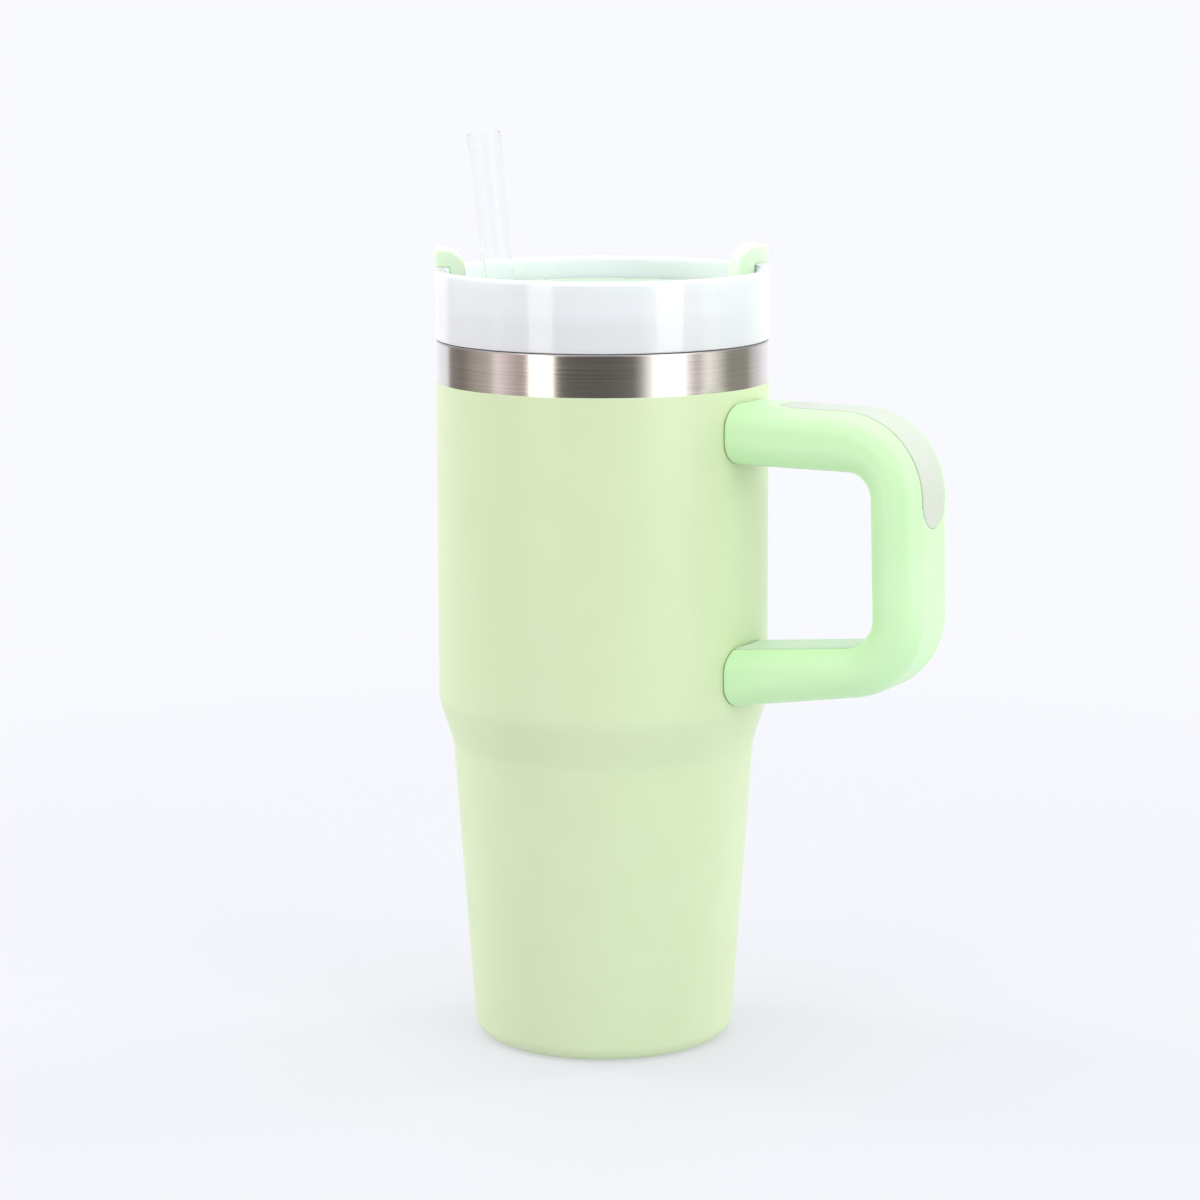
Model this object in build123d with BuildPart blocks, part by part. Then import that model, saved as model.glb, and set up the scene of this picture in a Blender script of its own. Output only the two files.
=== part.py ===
"""Insulated travel mug with a screw lid, a turning cover, a straw and a two-piece handle.

All lengths are millimetres and all angles degrees. The mug stands on z = 0, its axis is Z and
its handle points along +X. The lid is screwed down, the cover is turned to the straw position
and the straw is pushed in.
"""

import os
from math import cos, radians, sin, tan

from build123d import *

# ---------------------------------------------------------------- steel body
body_radius = 44.0  # coated outside of the straight upper part
coat_thickness = 0.15
coat_top_z = 177.3  # bare brushed steel above this
rim_z = 188.2
shoulder_top_z = 92.25
shoulder_foot_z = 80.5
shoulder_step = 3.77  # how much the upper part stands out past the top of the taper
taper = 5.69  # how much the tapered side narrows down to z = 0
base_round = 4.5
shoulder_round = 12.0
shell_wall = 0.5
liner_wall = 0.4
wall_gap = 3.0  # vacuum space between shell and liner
liner_floor_z = 7.9
liner_round = 9.0

weld_margin = 1.04  # flat left outside the base disc
weld_overlap = 2.5  # width of the disc's welded rim
dish_slope = 1.5  # from the hole in the shell in to the dish
dish_bend = 0.2  # how much wider the dish is on its upper side
base_dish_rise = 1.3
seal_radius = 2.5
seal_pocket_radius = 3.6
seal_pocket_rise = 1.1
seal_bulge = 0.1  # how far the bead sinks past its pocket
seal_round = 0.7
getter_radius = 4.5
getter_thickness = 1.2
getter_offset = 14.0

# ---------------------------------------------------------------- screw thread
thread_pitch = 4.5
thread_turns = 1.5
thread_depth = 1.0
thread_root = 1.8
thread_crest = 0.8
thread_clearance = 0.35  # between a crest and the wall facing it
thread_bury = 0.15
liner_thread_z = 176.5

# ---------------------------------------------------------------- lid
lid_overhang = 0.0  # the ring is flush with the body
lid_foot_z = 188.5  # underside of the ring, just clear of the rim
lid_top_z = 206.6
lid_ring_wall = 2.8
lid_edge_round = 1.3
lid_foot_round = 0.3
deck_z = 197.5
deck_thickness = 2.2
skirt_foot_z = 172.8
skirt_wall = 2.0
gasket_z = 184.6
gasket_height = 3.0
gasket_depth = 0.65
gasket_clearance = 0.2
gasket_web = 1.0  # width of the gasket's flat part
gasket_lip_rise = 1.1
gasket_lip = 0.8
mouth_clearance = 0.3  # between the gasket's lip and the liner

boss_radius = 4.9
boss_height = 3.5
pin_radius = 2.0
pin_length = 5.0
pin_head_radius = 7.5
pin_head_height = 1.6
washer_radius = 9.0
pin_head_round = 1.0
washer_thickness = 0.5
washer_clearance = 0.1

sip_angle = 150.0
sip_inset = 4.6  # centre line of the slot, inside the skirt
sip_half_angle = 16.0
sip_width = 8.4
vent_angle = 80.0
vent_radius = 25.0
vent_bore = 1.2

# ---------------------------------------------------------------- cover on the lid
cover_angle = 38.5  # direction of the straight edge
cover_clearance = 0.6  # all round, inside the ring
cover_edge_offset = 6.0  # straight edge in front of the pivot
cover_lift = 0.8  # underside above the deck
cover_thickness = 2.4
cover_bore_clearance = 0.3
tab_angle = 5.5  # each tab's angle from the straight edge's direction
tab_width = 11.0
tab_depth = 7.1  # at its top
tab_lean = 2.4  # how much deeper it is at the foot
tab_clearance = 0.9  # between a tab's stem and the ring
tab_overhang = 0.1  # past the outside of the ring
tab_gap = 0.3  # over the rim of the lid
tab_height = 5.5
tab_round = 6.0
tab_edge = 1.2
tab_lip = 0.9  # round on the outer edge of its underside
pad_width = 12.4
pad_half_angle = 19.0
pad_inset = 0.7
pad_drop = 0.5

# ---------------------------------------------------------------- straw
straw_radius = 4.3
straw_wall = 1.0
straw_angle = 231.2  # where it passes the deck
straw_inset = 8.4  # of the hole in the deck, inside the skirt
straw_lean = 5.5
straw_lean_angle = 210.0
straw_foot_z = 12.0
straw_top_z = 242.5
seal_wall = 1.9  # rubber between the straw and the deck
seal_clearance = 0.1
seal_flange_width = 1.5  # past the body of the seal
seal_lower_step = 0.5  # how much narrower the lower flange is
seal_flange = 1.2
seal_bore_clearance = 0.3
notch_clearance = 0.7  # between the seal's flange and the cover

# ---------------------------------------------------------------- handle
handle_width = 23.5
handle_round = 6.3
arm_top_z = 174.0
arm_under_z = 158.1
arm_top_tip_z = 173.8
arm_under_tip_z = 158.2
lower_top_z = 110.2
lower_foot_z = 94.6
lower_top_rise = 4.0  # at the inside of the grip
lower_foot_rise = 8.7  # at the outside of the grip
reach_outer_top = 52.1  # the grip's reaches are measured from the body
reach_outer_foot = 53.5
reach_inner_top = 37.9
reach_inner_foot = 39.2
outer_top_round = 22.0
outer_foot_round = 22.0
inner_top_round = 6.5
inner_foot_round = 8.0
root_length = 14.0  # the arms are drawn from this far inside the body and trimmed to it
handle_wall = 2.4
cover_strip_width = 15.0
cover_strip_thickness = 2.0
strip_clearance = 0.2
inlay_width = 13.0
inlay_depth = 1.2
inlay_start_reach = 9.6
inlay_end_z = 144.7
inlay_clearance = 0.12
inlay_floor_clearance = 0.05
pad_thickness = 0.45
pad_margin = 0.35
pad_strip_clearance = 0.4
pad_clearance = 0.05

bracket_width = 12.0
bracket_reach = 20.0
bracket_round = 3.0
bracket_thickness = 2.0
upper_bracket_z = 165.0
lower_bracket_z = 101.4
screw_reach = 12.0
screw_radius = 1.25
screw_hole_radius = 1.6
screw_head_radius = 2.75
screw_head_height = 1.8
screw_bite = 3.8
screw_boss_radius = 4.2
lower_boss_rise = 3.045  # of the boss's foot, over the foot of the arm at the body

# ---------------------------------------------------------------- worked out from those above
bare_radius = body_radius - coat_thickness
shell_inner_radius = bare_radius - shell_wall
liner_outer_radius = shell_inner_radius - wall_gap
mouth_radius = liner_outer_radius - liner_wall
shoulder_foot_radius = body_radius - shoulder_step
base_corner_radius = shoulder_foot_radius - taper
base_weld_radius = base_corner_radius - base_round - weld_margin
base_hole_radius = base_weld_radius - weld_overlap
base_dish_radius = base_hole_radius - dish_slope
skirt_radius = mouth_radius - thread_depth - thread_clearance
skirt_inner_radius = skirt_radius - skirt_wall
sip_radius = skirt_inner_radius - sip_inset
straw_offset = skirt_inner_radius - straw_inset
lid_radius = body_radius + lid_overhang
ring_inner_radius = lid_radius - lid_ring_wall
cover_radius = ring_inner_radius - cover_clearance
tab_stem_radius = ring_inner_radius - tab_clearance
tab_outer_radius = lid_radius + tab_overhang
tab_inner_radius = tab_outer_radius - tab_depth
tab_foot_radius = tab_inner_radius - tab_lean
straw_bore = straw_radius - straw_wall
seal_body_radius = straw_radius + seal_bore_clearance + seal_wall
seal_hole_radius = seal_body_radius + seal_clearance
seal_flange_radius = seal_body_radius + seal_flange_width
notch_radius = seal_flange_radius + notch_clearance
lip_foot_z = rim_z - liner_wall
cover_z = deck_z + cover_lift
cover_top_z = cover_z + cover_thickness
handle_seat = body_radius + pad_thickness + pad_clearance
channel_half = cover_strip_width / 2 + strip_clearance
handle_root = body_radius - root_length
inlay_start = body_radius + inlay_start_reach
screw_x = body_radius + screw_reach
lower_foot_slope = lower_foot_rise / reach_outer_foot
lower_top_slope = lower_top_rise / reach_inner_foot
straw_x = straw_offset * cos(radians(straw_angle))
straw_y = straw_offset * sin(radians(straw_angle))
straw_direction = Vector(
    tan(radians(straw_lean)) * cos(radians(straw_lean_angle)),
    tan(radians(straw_lean)) * sin(radians(straw_lean_angle)),
    1,
)
straw_foot = Vector(straw_x, straw_y, deck_z) + straw_direction * (straw_foot_z - deck_z)
straw_top = Vector(straw_x, straw_y, deck_z) + straw_direction * (straw_top_z - deck_z)
straw_plane = Plane(origin=straw_foot, z_dir=straw_direction)
straw_length = (straw_top - straw_foot).length


def body_outline(inset, foot_z, foot_round, top_z, side_round):
    """Points of the body's outline moved in by inset, from the axis out and up and back."""
    slope = (shoulder_foot_radius - base_corner_radius) / shoulder_foot_z
    foot_radius = base_corner_radius + slope * foot_z - inset
    with BuildSketch(Plane.XZ) as outline:
        with BuildLine():
            Polyline(
                (0, foot_z),
                (foot_radius, foot_z),
                (shoulder_foot_radius - inset, shoulder_foot_z),
                (body_radius - inset, shoulder_top_z),
                (body_radius - inset, top_z),
                (0, top_z),
                close=True,
            )
        make_face()
        for height, radius in (
            (foot_z, foot_round),
            (shoulder_foot_z, side_round),
            (shoulder_top_z, side_round),
        ):
            level = outline.vertices().filter_by_position(Axis.Y, height - 0.01, height + 0.01)
            fillet(level.sort_by(Axis.X)[-1], radius)
    return outline.sketch


def thread_ridge(radius, start_z, towards_axis):
    """One helical ridge on a wall of the given radius, its foot sunk a little into the wall."""
    side = -1 if towards_axis else 1
    with BuildPart() as ridge:
        with BuildLine() as path:
            coil = Helix(
                thread_pitch, thread_pitch * thread_turns, radius, center=(0, 0, start_z)
            )
        with BuildSketch(Plane(origin=coil @ 0, x_dir=(1, 0, 0), z_dir=coil % 0)):
            Polygon(
                (-side * thread_bury, -thread_root / 2),
                (0, -thread_root / 2),
                (side * thread_depth, -thread_crest / 2),
                (side * thread_depth, thread_crest / 2),
                (0, thread_root / 2),
                (-side * thread_bury, thread_root / 2),
                align=None,
            )
        sweep(path=path.line, is_frenet=True)
    return ridge.part


def arc_slot(radius, centre_angle, half_angle, width):
    """A slot bent round the lid's axis."""
    with BuildSketch() as slot:
        SlotArc(CenterArc((0, 0), radius, centre_angle - half_angle, 2 * half_angle), width)
    return slot.sketch


def handle_loop(outer, grow):
    """The handle's outer or inner outline, moved outwards by grow."""
    with BuildSketch(Plane.XZ) as loop:
        with BuildLine():
            if outer:
                Polyline(
                    (handle_root, lower_foot_z - root_length * lower_foot_slope),
                    (body_radius + reach_outer_foot, lower_foot_z + lower_foot_rise),
                    (body_radius + reach_outer_top, arm_top_tip_z),
                    (handle_root, arm_top_z),
                    close=True,
                )
            else:
                Polyline(
                    (handle_root, lower_top_z - root_length * lower_top_slope),
                    (body_radius + reach_inner_foot, lower_top_z + lower_top_rise),
                    (body_radius + reach_inner_top, arm_under_tip_z),
                    (handle_root, arm_under_z),
                    close=True,
                )
        make_face()
        far = loop.vertices().sort_by(Axis.X)[-2:].sort_by(Axis.Y)
        fillet(far[1], outer_top_round if outer else inner_top_round)
        far = loop.vertices().sort_by(Axis.X)[-1:]
        fillet(far, outer_foot_round if outer else inner_foot_round)
        if grow:
            offset(amount=grow, kind=Kind.INTERSECTION)
    return loop.sketch


# ---------------------------------------------------------------- outer shell
with BuildPart() as outer_shell:
    revolve(body_outline(0, 0, base_round, lip_foot_z, shoulder_round), Axis.Z)
    revolve(
        body_outline(
            coat_thickness + shell_wall,
            shell_wall,
            base_round - shell_wall,
            lip_foot_z,
            shoulder_round,
        ),
        Axis.Z,
        mode=Mode.SUBTRACT,
    )
    Cylinder(
        base_hole_radius,
        shell_wall,
        align=(Align.CENTER, Align.CENTER, Align.MIN),
        mode=Mode.SUBTRACT,
    )
    with BuildSketch(Plane.XY.offset(coat_top_z)):
        Circle(body_radius + 1)
        Circle(bare_radius, mode=Mode.SUBTRACT)
    extrude(amount=lip_foot_z - coat_top_z, mode=Mode.SUBTRACT)

# ---------------------------------------------------------------- inner liner
with BuildPart() as inner_liner:
    liner_inset = body_radius - liner_outer_radius
    revolve(
        body_outline(
            liner_inset, liner_floor_z - liner_wall, liner_round, rim_z, shoulder_round
        ),
        Axis.Z,
    )
    with Locations((0, 0, lip_foot_z)):
        Cylinder(bare_radius, liner_wall, align=(Align.CENTER, Align.CENTER, Align.MIN))
    revolve(
        body_outline(
            liner_inset + liner_wall,
            liner_floor_z,
            liner_round - liner_wall,
            rim_z,
            shoulder_round,
        ),
        Axis.Z,
        mode=Mode.SUBTRACT,
    )
    add(thread_ridge(mouth_radius, liner_thread_z, True))

# ---------------------------------------------------------------- base disc, seal and getter
dish_z = 2 * shell_wall + base_dish_rise
pocket_z = dish_z - shell_wall + seal_pocket_rise
with BuildPart() as base_disc:
    with BuildSketch(Plane.XZ):
        with BuildLine():
            Polyline(
                (0, pocket_z),
                (seal_pocket_radius, pocket_z),
                (seal_pocket_radius, dish_z - shell_wall),
                (base_dish_radius, dish_z - shell_wall),
                (base_hole_radius, shell_wall),
                (base_weld_radius, shell_wall),
                (base_weld_radius, 2 * shell_wall),
                (base_hole_radius + dish_bend, 2 * shell_wall),
                (base_dish_radius + dish_bend, dish_z),
                (seal_pocket_radius + shell_wall, dish_z),
                (seal_pocket_radius + shell_wall, pocket_z + shell_wall),
                (0, pocket_z + shell_wall),
                close=True,
            )
        make_face()
    revolve(axis=Axis.Z)

with BuildPart() as vacuum_seal:
    with Locations((0, 0, pocket_z)):
        Cylinder(
            seal_radius,
            seal_pocket_rise + seal_bulge,
            align=(Align.CENTER, Align.CENTER, Align.MAX),
        )
    fillet(vacuum_seal.faces().sort_by(Axis.Z)[0].edges(), seal_round)

with BuildPart() as getter:
    with Locations((getter_offset, 0, liner_floor_z - liner_wall)):
        Cylinder(
            getter_radius,
            getter_thickness,
            align=(Align.CENTER, Align.CENTER, Align.MAX),
        )

# ---------------------------------------------------------------- lid body
with BuildPart() as lid_body:
    groove_radius = skirt_radius - gasket_depth - gasket_clearance
    with BuildSketch(Plane.XZ) as lid_section:
        with BuildLine():
            Polyline(
                (0, deck_z),
                (ring_inner_radius, deck_z),
                (ring_inner_radius, lid_top_z),
                (lid_radius, lid_top_z),
                (lid_radius, lid_foot_z),
                (skirt_radius, lid_foot_z),
                (skirt_radius, gasket_z + gasket_height + gasket_clearance),
                (groove_radius, gasket_z + gasket_height + gasket_clearance),
                (groove_radius, gasket_z - gasket_clearance),
                (skirt_radius, gasket_z - gasket_clearance),
                (skirt_radius, skirt_foot_z),
                (skirt_inner_radius, skirt_foot_z),
                (skirt_inner_radius, deck_z - deck_thickness),
                (0, deck_z - deck_thickness),
                close=True,
            )
        make_face()
        fillet(lid_section.vertices().sort_by(Axis.Y)[-2:], lid_edge_round)
        fillet(lid_section.vertices().sort_by(Axis.X)[-2:].sort_by(Axis.Y)[0], lid_foot_round)
    revolve(axis=Axis.Z)
    with Locations((0, 0, deck_z)):
        Cylinder(boss_radius, boss_height, align=(Align.CENTER, Align.CENTER, Align.MIN))
    with Locations((0, 0, deck_z + boss_height)):
        Cylinder(
            pin_radius,
            pin_length,
            align=(Align.CENTER, Align.CENTER, Align.MAX),
            mode=Mode.SUBTRACT,
        )
    with BuildSketch(Plane.XY.offset(deck_z - deck_thickness)):
        add(arc_slot(sip_radius, sip_angle, sip_half_angle, sip_width))
        with Locations((straw_x, straw_y)):
            Circle(seal_hole_radius)
        with PolarLocations(vent_radius, 1, start_angle=vent_angle):
            Circle(vent_bore)
    extrude(amount=deck_thickness, mode=Mode.SUBTRACT)
    add(thread_ridge(skirt_radius, liner_thread_z - thread_pitch / 2, False))

# ---------------------------------------------------------------- lid gasket
with BuildPart() as lid_gasket:
    gasket_outer = mouth_radius - mouth_clearance
    gasket_inner = groove_radius + gasket_clearance
    with BuildSketch(Plane.XZ):
        Polygon(
            (gasket_inner, gasket_z),
            (gasket_inner + gasket_web, gasket_z),
            (gasket_outer, gasket_z + gasket_lip_rise),
            (gasket_outer, gasket_z + gasket_lip_rise + gasket_lip),
            (gasket_inner + gasket_web, gasket_z + gasket_height),
            (gasket_inner, gasket_z + gasket_height),
            align=None,
        )
    revolve(axis=Axis.Z)

# ---------------------------------------------------------------- rotating cover
sip_in_cover = sip_angle - cover_angle
with BuildPart() as rotating_cover:
    with BuildSketch(Plane.XY.offset(cover_z)):
        Circle(cover_radius)
        with Locations((0, -cover_edge_offset)):
            Rectangle(
                3 * cover_radius,
                2 * cover_radius,
                align=(Align.CENTER, Align.MAX),
                mode=Mode.SUBTRACT,
            )
    extrude(amount=cover_thickness)
    for angle in (tab_angle, 180 - tab_angle):
        outwards = Vector(cos(radians(angle)), sin(radians(angle)), 0)
        with BuildSketch(
            Plane(origin=(0, 0, 0), x_dir=outwards, z_dir=outwards.rotate(Axis.Z, -90))
        ) as tab_section:
            under_z = lid_top_z + tab_gap
            with BuildLine():
                Polyline(
                    (tab_foot_radius, cover_z),
                    (tab_inner_radius, under_z + tab_height),
                    (tab_outer_radius, under_z + tab_height),
                    (tab_outer_radius, under_z),
                    (tab_stem_radius, under_z),
                    (tab_stem_radius, cover_z),
                    close=True,
                )
            make_face()
            fillet(tab_section.vertices().sort_by(Axis.Y)[-2:].sort_by(Axis.X)[0], tab_round)
            fillet(tab_section.vertices().sort_by(Axis.X)[-2:].sort_by(Axis.Y)[-1], tab_edge)
            fillet(tab_section.vertices().sort_by(Axis.X)[-1], tab_lip)
        extrude(amount=tab_width / 2, both=True)
    with Locations((0, 0, cover_z)):
        Cylinder(
            boss_radius + cover_bore_clearance,
            cover_thickness,
            align=(Align.CENTER, Align.CENTER, Align.MIN),
            mode=Mode.SUBTRACT,
        )
    with BuildSketch(Plane.XY.offset(cover_z)):
        with PolarLocations(straw_offset, 1, start_angle=straw_angle - cover_angle):
            Circle(notch_radius)
    extrude(amount=cover_thickness, mode=Mode.SUBTRACT)
    with BuildSketch(Plane.XY.offset(cover_z)):
        add(arc_slot(sip_radius, sip_in_cover, pad_half_angle, pad_width))
    extrude(amount=pad_inset, mode=Mode.SUBTRACT)
rotating_cover.part.locate(Location((0, 0, 0), (0, 0, cover_angle)))

with BuildPart() as sip_seal:
    with BuildSketch(Plane.XY.offset(cover_z - pad_drop)):
        add(arc_slot(sip_radius, sip_angle, pad_half_angle, pad_width))
    extrude(amount=pad_drop + pad_inset)

# ---------------------------------------------------------------- pivot
with BuildPart() as pivot_pin:
    with Locations((0, 0, deck_z + boss_height)):
        Cylinder(pin_radius, pin_length, align=(Align.CENTER, Align.CENTER, Align.MAX))
        Cylinder(
            pin_head_radius,
            pin_head_height,
            align=(Align.CENTER, Align.CENTER, Align.MIN),
        )
    fillet(pivot_pin.faces().sort_by(Axis.Z)[-1].edges(), pin_head_round)

with BuildPart() as pivot_washer:
    with BuildSketch(Plane.XY.offset(deck_z)):
        Circle(washer_radius)
        Circle(boss_radius + washer_clearance, mode=Mode.SUBTRACT)
    extrude(amount=washer_thickness)

# ---------------------------------------------------------------- straw and its seal
with BuildPart() as straw:
    with BuildSketch(straw_plane):
        Circle(straw_radius)
        Circle(straw_bore, mode=Mode.SUBTRACT)
    extrude(amount=straw_length)

with BuildPart() as straw_seal:
    with Locations((straw_x, straw_y, deck_z)):
        Cylinder(
            seal_flange_radius,
            seal_flange,
            align=(Align.CENTER, Align.CENTER, Align.MIN),
        )
        Cylinder(
            seal_body_radius,
            deck_thickness,
            align=(Align.CENTER, Align.CENTER, Align.MAX),
        )
    with Locations((straw_x, straw_y, deck_z - deck_thickness)):
        Cylinder(
            seal_flange_radius - seal_lower_step,
            seal_flange,
            align=(Align.CENTER, Align.CENTER, Align.MAX),
        )
    with BuildSketch(straw_plane):
        Circle(straw_radius + seal_bore_clearance)
    extrude(amount=straw_length, mode=Mode.SUBTRACT)

# ---------------------------------------------------------------- handle
with BuildPart() as handle_blank:
    with BuildSketch(Plane.XZ):
        add(handle_loop(True, 0))
        add(handle_loop(False, 0), mode=Mode.SUBTRACT)
    extrude(amount=handle_width / 2, both=True)
    sides = handle_blank.faces().filter_by(Axis.Y)
    fillet([e for e in sides.edges() if e.center().X > handle_root + 1], handle_round)

with BuildPart() as seat_cutter:
    Cylinder(handle_seat, lid_top_z, align=(Align.CENTER, Align.CENTER, Align.MIN))


def inlay_blank(margin, depth):
    """The band of the handle's outer face that the inlay fills, widened by margin."""
    half = inlay_width / 2 + margin
    with BuildPart() as blank:
        add(handle_blank.part)
        with BuildSketch(Plane.XY):
            with Locations((inlay_start + inlay_width / 2, 0)):
                Circle(half)
                Rectangle(2 * body_radius, 2 * half, align=(Align.MIN, Align.CENTER))
        extrude(amount=lid_top_z, mode=Mode.INTERSECT)
        with BuildSketch(Plane.YZ):
            with Locations((0, inlay_end_z + inlay_width / 2)):
                Circle(half)
                Rectangle(2 * half, body_radius, align=(Align.CENTER, Align.MIN))
        extrude(amount=3 * body_radius, mode=Mode.INTERSECT)
        with BuildSketch(Plane.XZ):
            add(handle_loop(True, -depth))
        extrude(amount=handle_width, both=True, mode=Mode.SUBTRACT)
    return blank.part


with BuildPart() as grip_inlay:
    add(inlay_blank(0, inlay_depth))

with BuildPart() as handle_shell:
    add(handle_blank.part)
    with BuildSketch(Plane.XZ):
        add(handle_loop(True, -handle_wall))
    extrude(amount=channel_half, both=True, mode=Mode.SUBTRACT)
    upper_face = upper_bracket_z + bracket_thickness
    with BuildSketch(Plane.XY.offset(upper_face)):
        with Locations((screw_x, 0)):
            Circle(screw_boss_radius)
    extrude(amount=arm_top_z - handle_wall / 2 - upper_face)
    boss_foot = lower_foot_z + lower_boss_rise
    with BuildSketch(Plane.XY.offset(boss_foot)):
        with Locations((screw_x, 0)):
            Circle(screw_boss_radius)
    extrude(amount=lower_bracket_z - boss_foot)
    with Locations((screw_x, 0, upper_face)):
        Cylinder(
            screw_radius,
            screw_bite,
            align=(Align.CENTER, Align.CENTER, Align.MIN),
            mode=Mode.SUBTRACT,
        )
    with Locations((screw_x, 0, lower_bracket_z)):
        Cylinder(
            screw_radius,
            screw_bite,
            align=(Align.CENTER, Align.CENTER, Align.MAX),
            mode=Mode.SUBTRACT,
        )
    add(inlay_blank(inlay_clearance, inlay_depth + inlay_floor_clearance), mode=Mode.SUBTRACT)
    add(seat_cutter.part, mode=Mode.SUBTRACT)

with BuildPart() as handle_inner_cover:
    add(handle_blank.part)
    with BuildSketch(Plane.XZ):
        add(handle_loop(False, cover_strip_thickness))
    extrude(amount=cover_strip_width / 2, both=True, mode=Mode.INTERSECT)
    add(seat_cutter.part, mode=Mode.SUBTRACT)

with BuildPart() as handle_pads:
    add(handle_blank.part)
    with BuildSketch(Plane.XZ):
        add(handle_loop(True, -pad_margin))
        add(handle_loop(False, pad_margin), mode=Mode.SUBTRACT)
    extrude(amount=handle_width / 2 - pad_margin, both=True, mode=Mode.INTERSECT)
    with BuildSketch(Plane.XZ):
        add(handle_loop(True, -handle_wall))
        add(handle_loop(False, cover_strip_thickness + pad_strip_clearance), mode=Mode.SUBTRACT)
    extrude(amount=channel_half, both=True, mode=Mode.SUBTRACT)
    with BuildSketch(Plane.XY):
        Circle(body_radius + pad_thickness)
        Circle(body_radius, mode=Mode.SUBTRACT)
        Rectangle(
            4 * body_radius,
            4 * body_radius,
            align=(Align.MAX, Align.CENTER),
            mode=Mode.SUBTRACT,
        )
    extrude(amount=lid_top_z, mode=Mode.INTERSECT)

# ---------------------------------------------------------------- brackets and screws
with BuildPart() as body_cutter:
    Cylinder(body_radius, lid_top_z, align=(Align.CENTER, Align.CENTER, Align.MIN))


def bracket(foot_z):
    """A tongue welded to the shell with a hole for its screw."""
    with BuildPart() as tongue:
        with BuildSketch(Plane.XY.offset(foot_z)):
            Rectangle(body_radius + bracket_reach, bracket_width, align=(Align.MIN, Align.CENTER))
            with Locations((screw_x, 0)):
                Circle(screw_hole_radius, mode=Mode.SUBTRACT)
        extrude(amount=bracket_thickness)
        fillet(tongue.edges().filter_by(Axis.Z).sort_by(Axis.X)[-2:], bracket_round)
        add(body_cutter.part, mode=Mode.SUBTRACT)
    return tongue.part


with BuildPart() as upper_bracket:
    add(bracket(upper_bracket_z))

with BuildPart() as lower_bracket:
    add(bracket(lower_bracket_z))

with BuildPart() as handle_screws:
    with Locations((screw_x, 0, upper_bracket_z)):
        Cylinder(
            screw_head_radius,
            screw_head_height,
            align=(Align.CENTER, Align.CENTER, Align.MAX),
        )
        Cylinder(
            screw_radius,
            bracket_thickness + screw_bite,
            align=(Align.CENTER, Align.CENTER, Align.MIN),
        )
    with Locations((screw_x, 0, lower_bracket_z + bracket_thickness)):
        Cylinder(
            screw_head_radius,
            screw_head_height,
            align=(Align.CENTER, Align.CENTER, Align.MIN),
        )
        Cylinder(
            screw_radius,
            bracket_thickness + screw_bite,
            align=(Align.CENTER, Align.CENTER, Align.MAX),
        )

# ---------------------------------------------------------------- export
pieces = {
    "outer_shell": outer_shell,
    "inner_liner": inner_liner,
    "base_disc": base_disc,
    "vacuum_seal": vacuum_seal,
    "getter": getter,
    "upper_bracket": upper_bracket,
    "lower_bracket": lower_bracket,
    "handle_pads": handle_pads,
    "handle_shell": handle_shell,
    "handle_inner_cover": handle_inner_cover,
    "grip_inlay": grip_inlay,
    "handle_screws": handle_screws,
    "lid_gasket": lid_gasket,
    "lid_body": lid_body,
    "pivot_washer": pivot_washer,
    "pivot_pin": pivot_pin,
    "straw_seal": straw_seal,
    "rotating_cover": rotating_cover,
    "sip_seal": sip_seal,
    "straw": straw,
}

os.makedirs("parts", exist_ok=True)
for name, piece in pieces.items():
    piece.part.label = name
    export_step(piece.part, f"parts/{name}.step")
    box = piece.part.bounding_box()
    print(
        f"{name:20s} {len(piece.part.solids())} solid(s) {piece.part.volume / 1000:8.3f} cm3"
        f"  x {box.min.X:.2f}..{box.max.X:.2f}  y {box.min.Y:.2f}..{box.max.Y:.2f}"
        f"  z {box.min.Z:.2f}..{box.max.Z:.2f}"
    )
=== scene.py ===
"""Insulated travel mug: the visible pieces and their finishes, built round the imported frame.

Sizes are millimetres and are turned to metres when a mesh is made. The mug's axis is Z, it
stands on z = 0 and its handle points along +X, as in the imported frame.
"""

from __future__ import annotations

import logging
import math
from dataclasses import dataclass
from enum import Enum

import bmesh
import bpy
import numpy as np
from mathutils import Matrix, Vector
from mathutils.geometry import delaunay_2d_cdt

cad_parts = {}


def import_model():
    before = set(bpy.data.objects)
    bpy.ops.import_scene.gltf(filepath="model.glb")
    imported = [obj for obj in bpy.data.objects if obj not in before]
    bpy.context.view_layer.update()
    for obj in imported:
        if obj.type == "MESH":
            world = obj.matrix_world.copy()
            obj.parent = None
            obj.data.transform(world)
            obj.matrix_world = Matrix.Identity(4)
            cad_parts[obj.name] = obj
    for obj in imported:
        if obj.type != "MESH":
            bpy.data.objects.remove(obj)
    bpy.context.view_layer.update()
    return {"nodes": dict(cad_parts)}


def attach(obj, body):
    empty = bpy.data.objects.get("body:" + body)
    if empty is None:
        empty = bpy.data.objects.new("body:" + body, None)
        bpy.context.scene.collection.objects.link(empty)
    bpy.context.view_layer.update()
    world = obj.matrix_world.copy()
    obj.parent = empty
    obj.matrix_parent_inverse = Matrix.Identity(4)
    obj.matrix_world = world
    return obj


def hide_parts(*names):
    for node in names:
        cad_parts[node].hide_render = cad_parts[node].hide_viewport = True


MM = 0.001
LOG = logging.getLogger("travel_mug")
# Nearly all of a noise's values lie between these two.
NOISE_LOW, NOISE_HIGH = 0.3, 0.7


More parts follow.
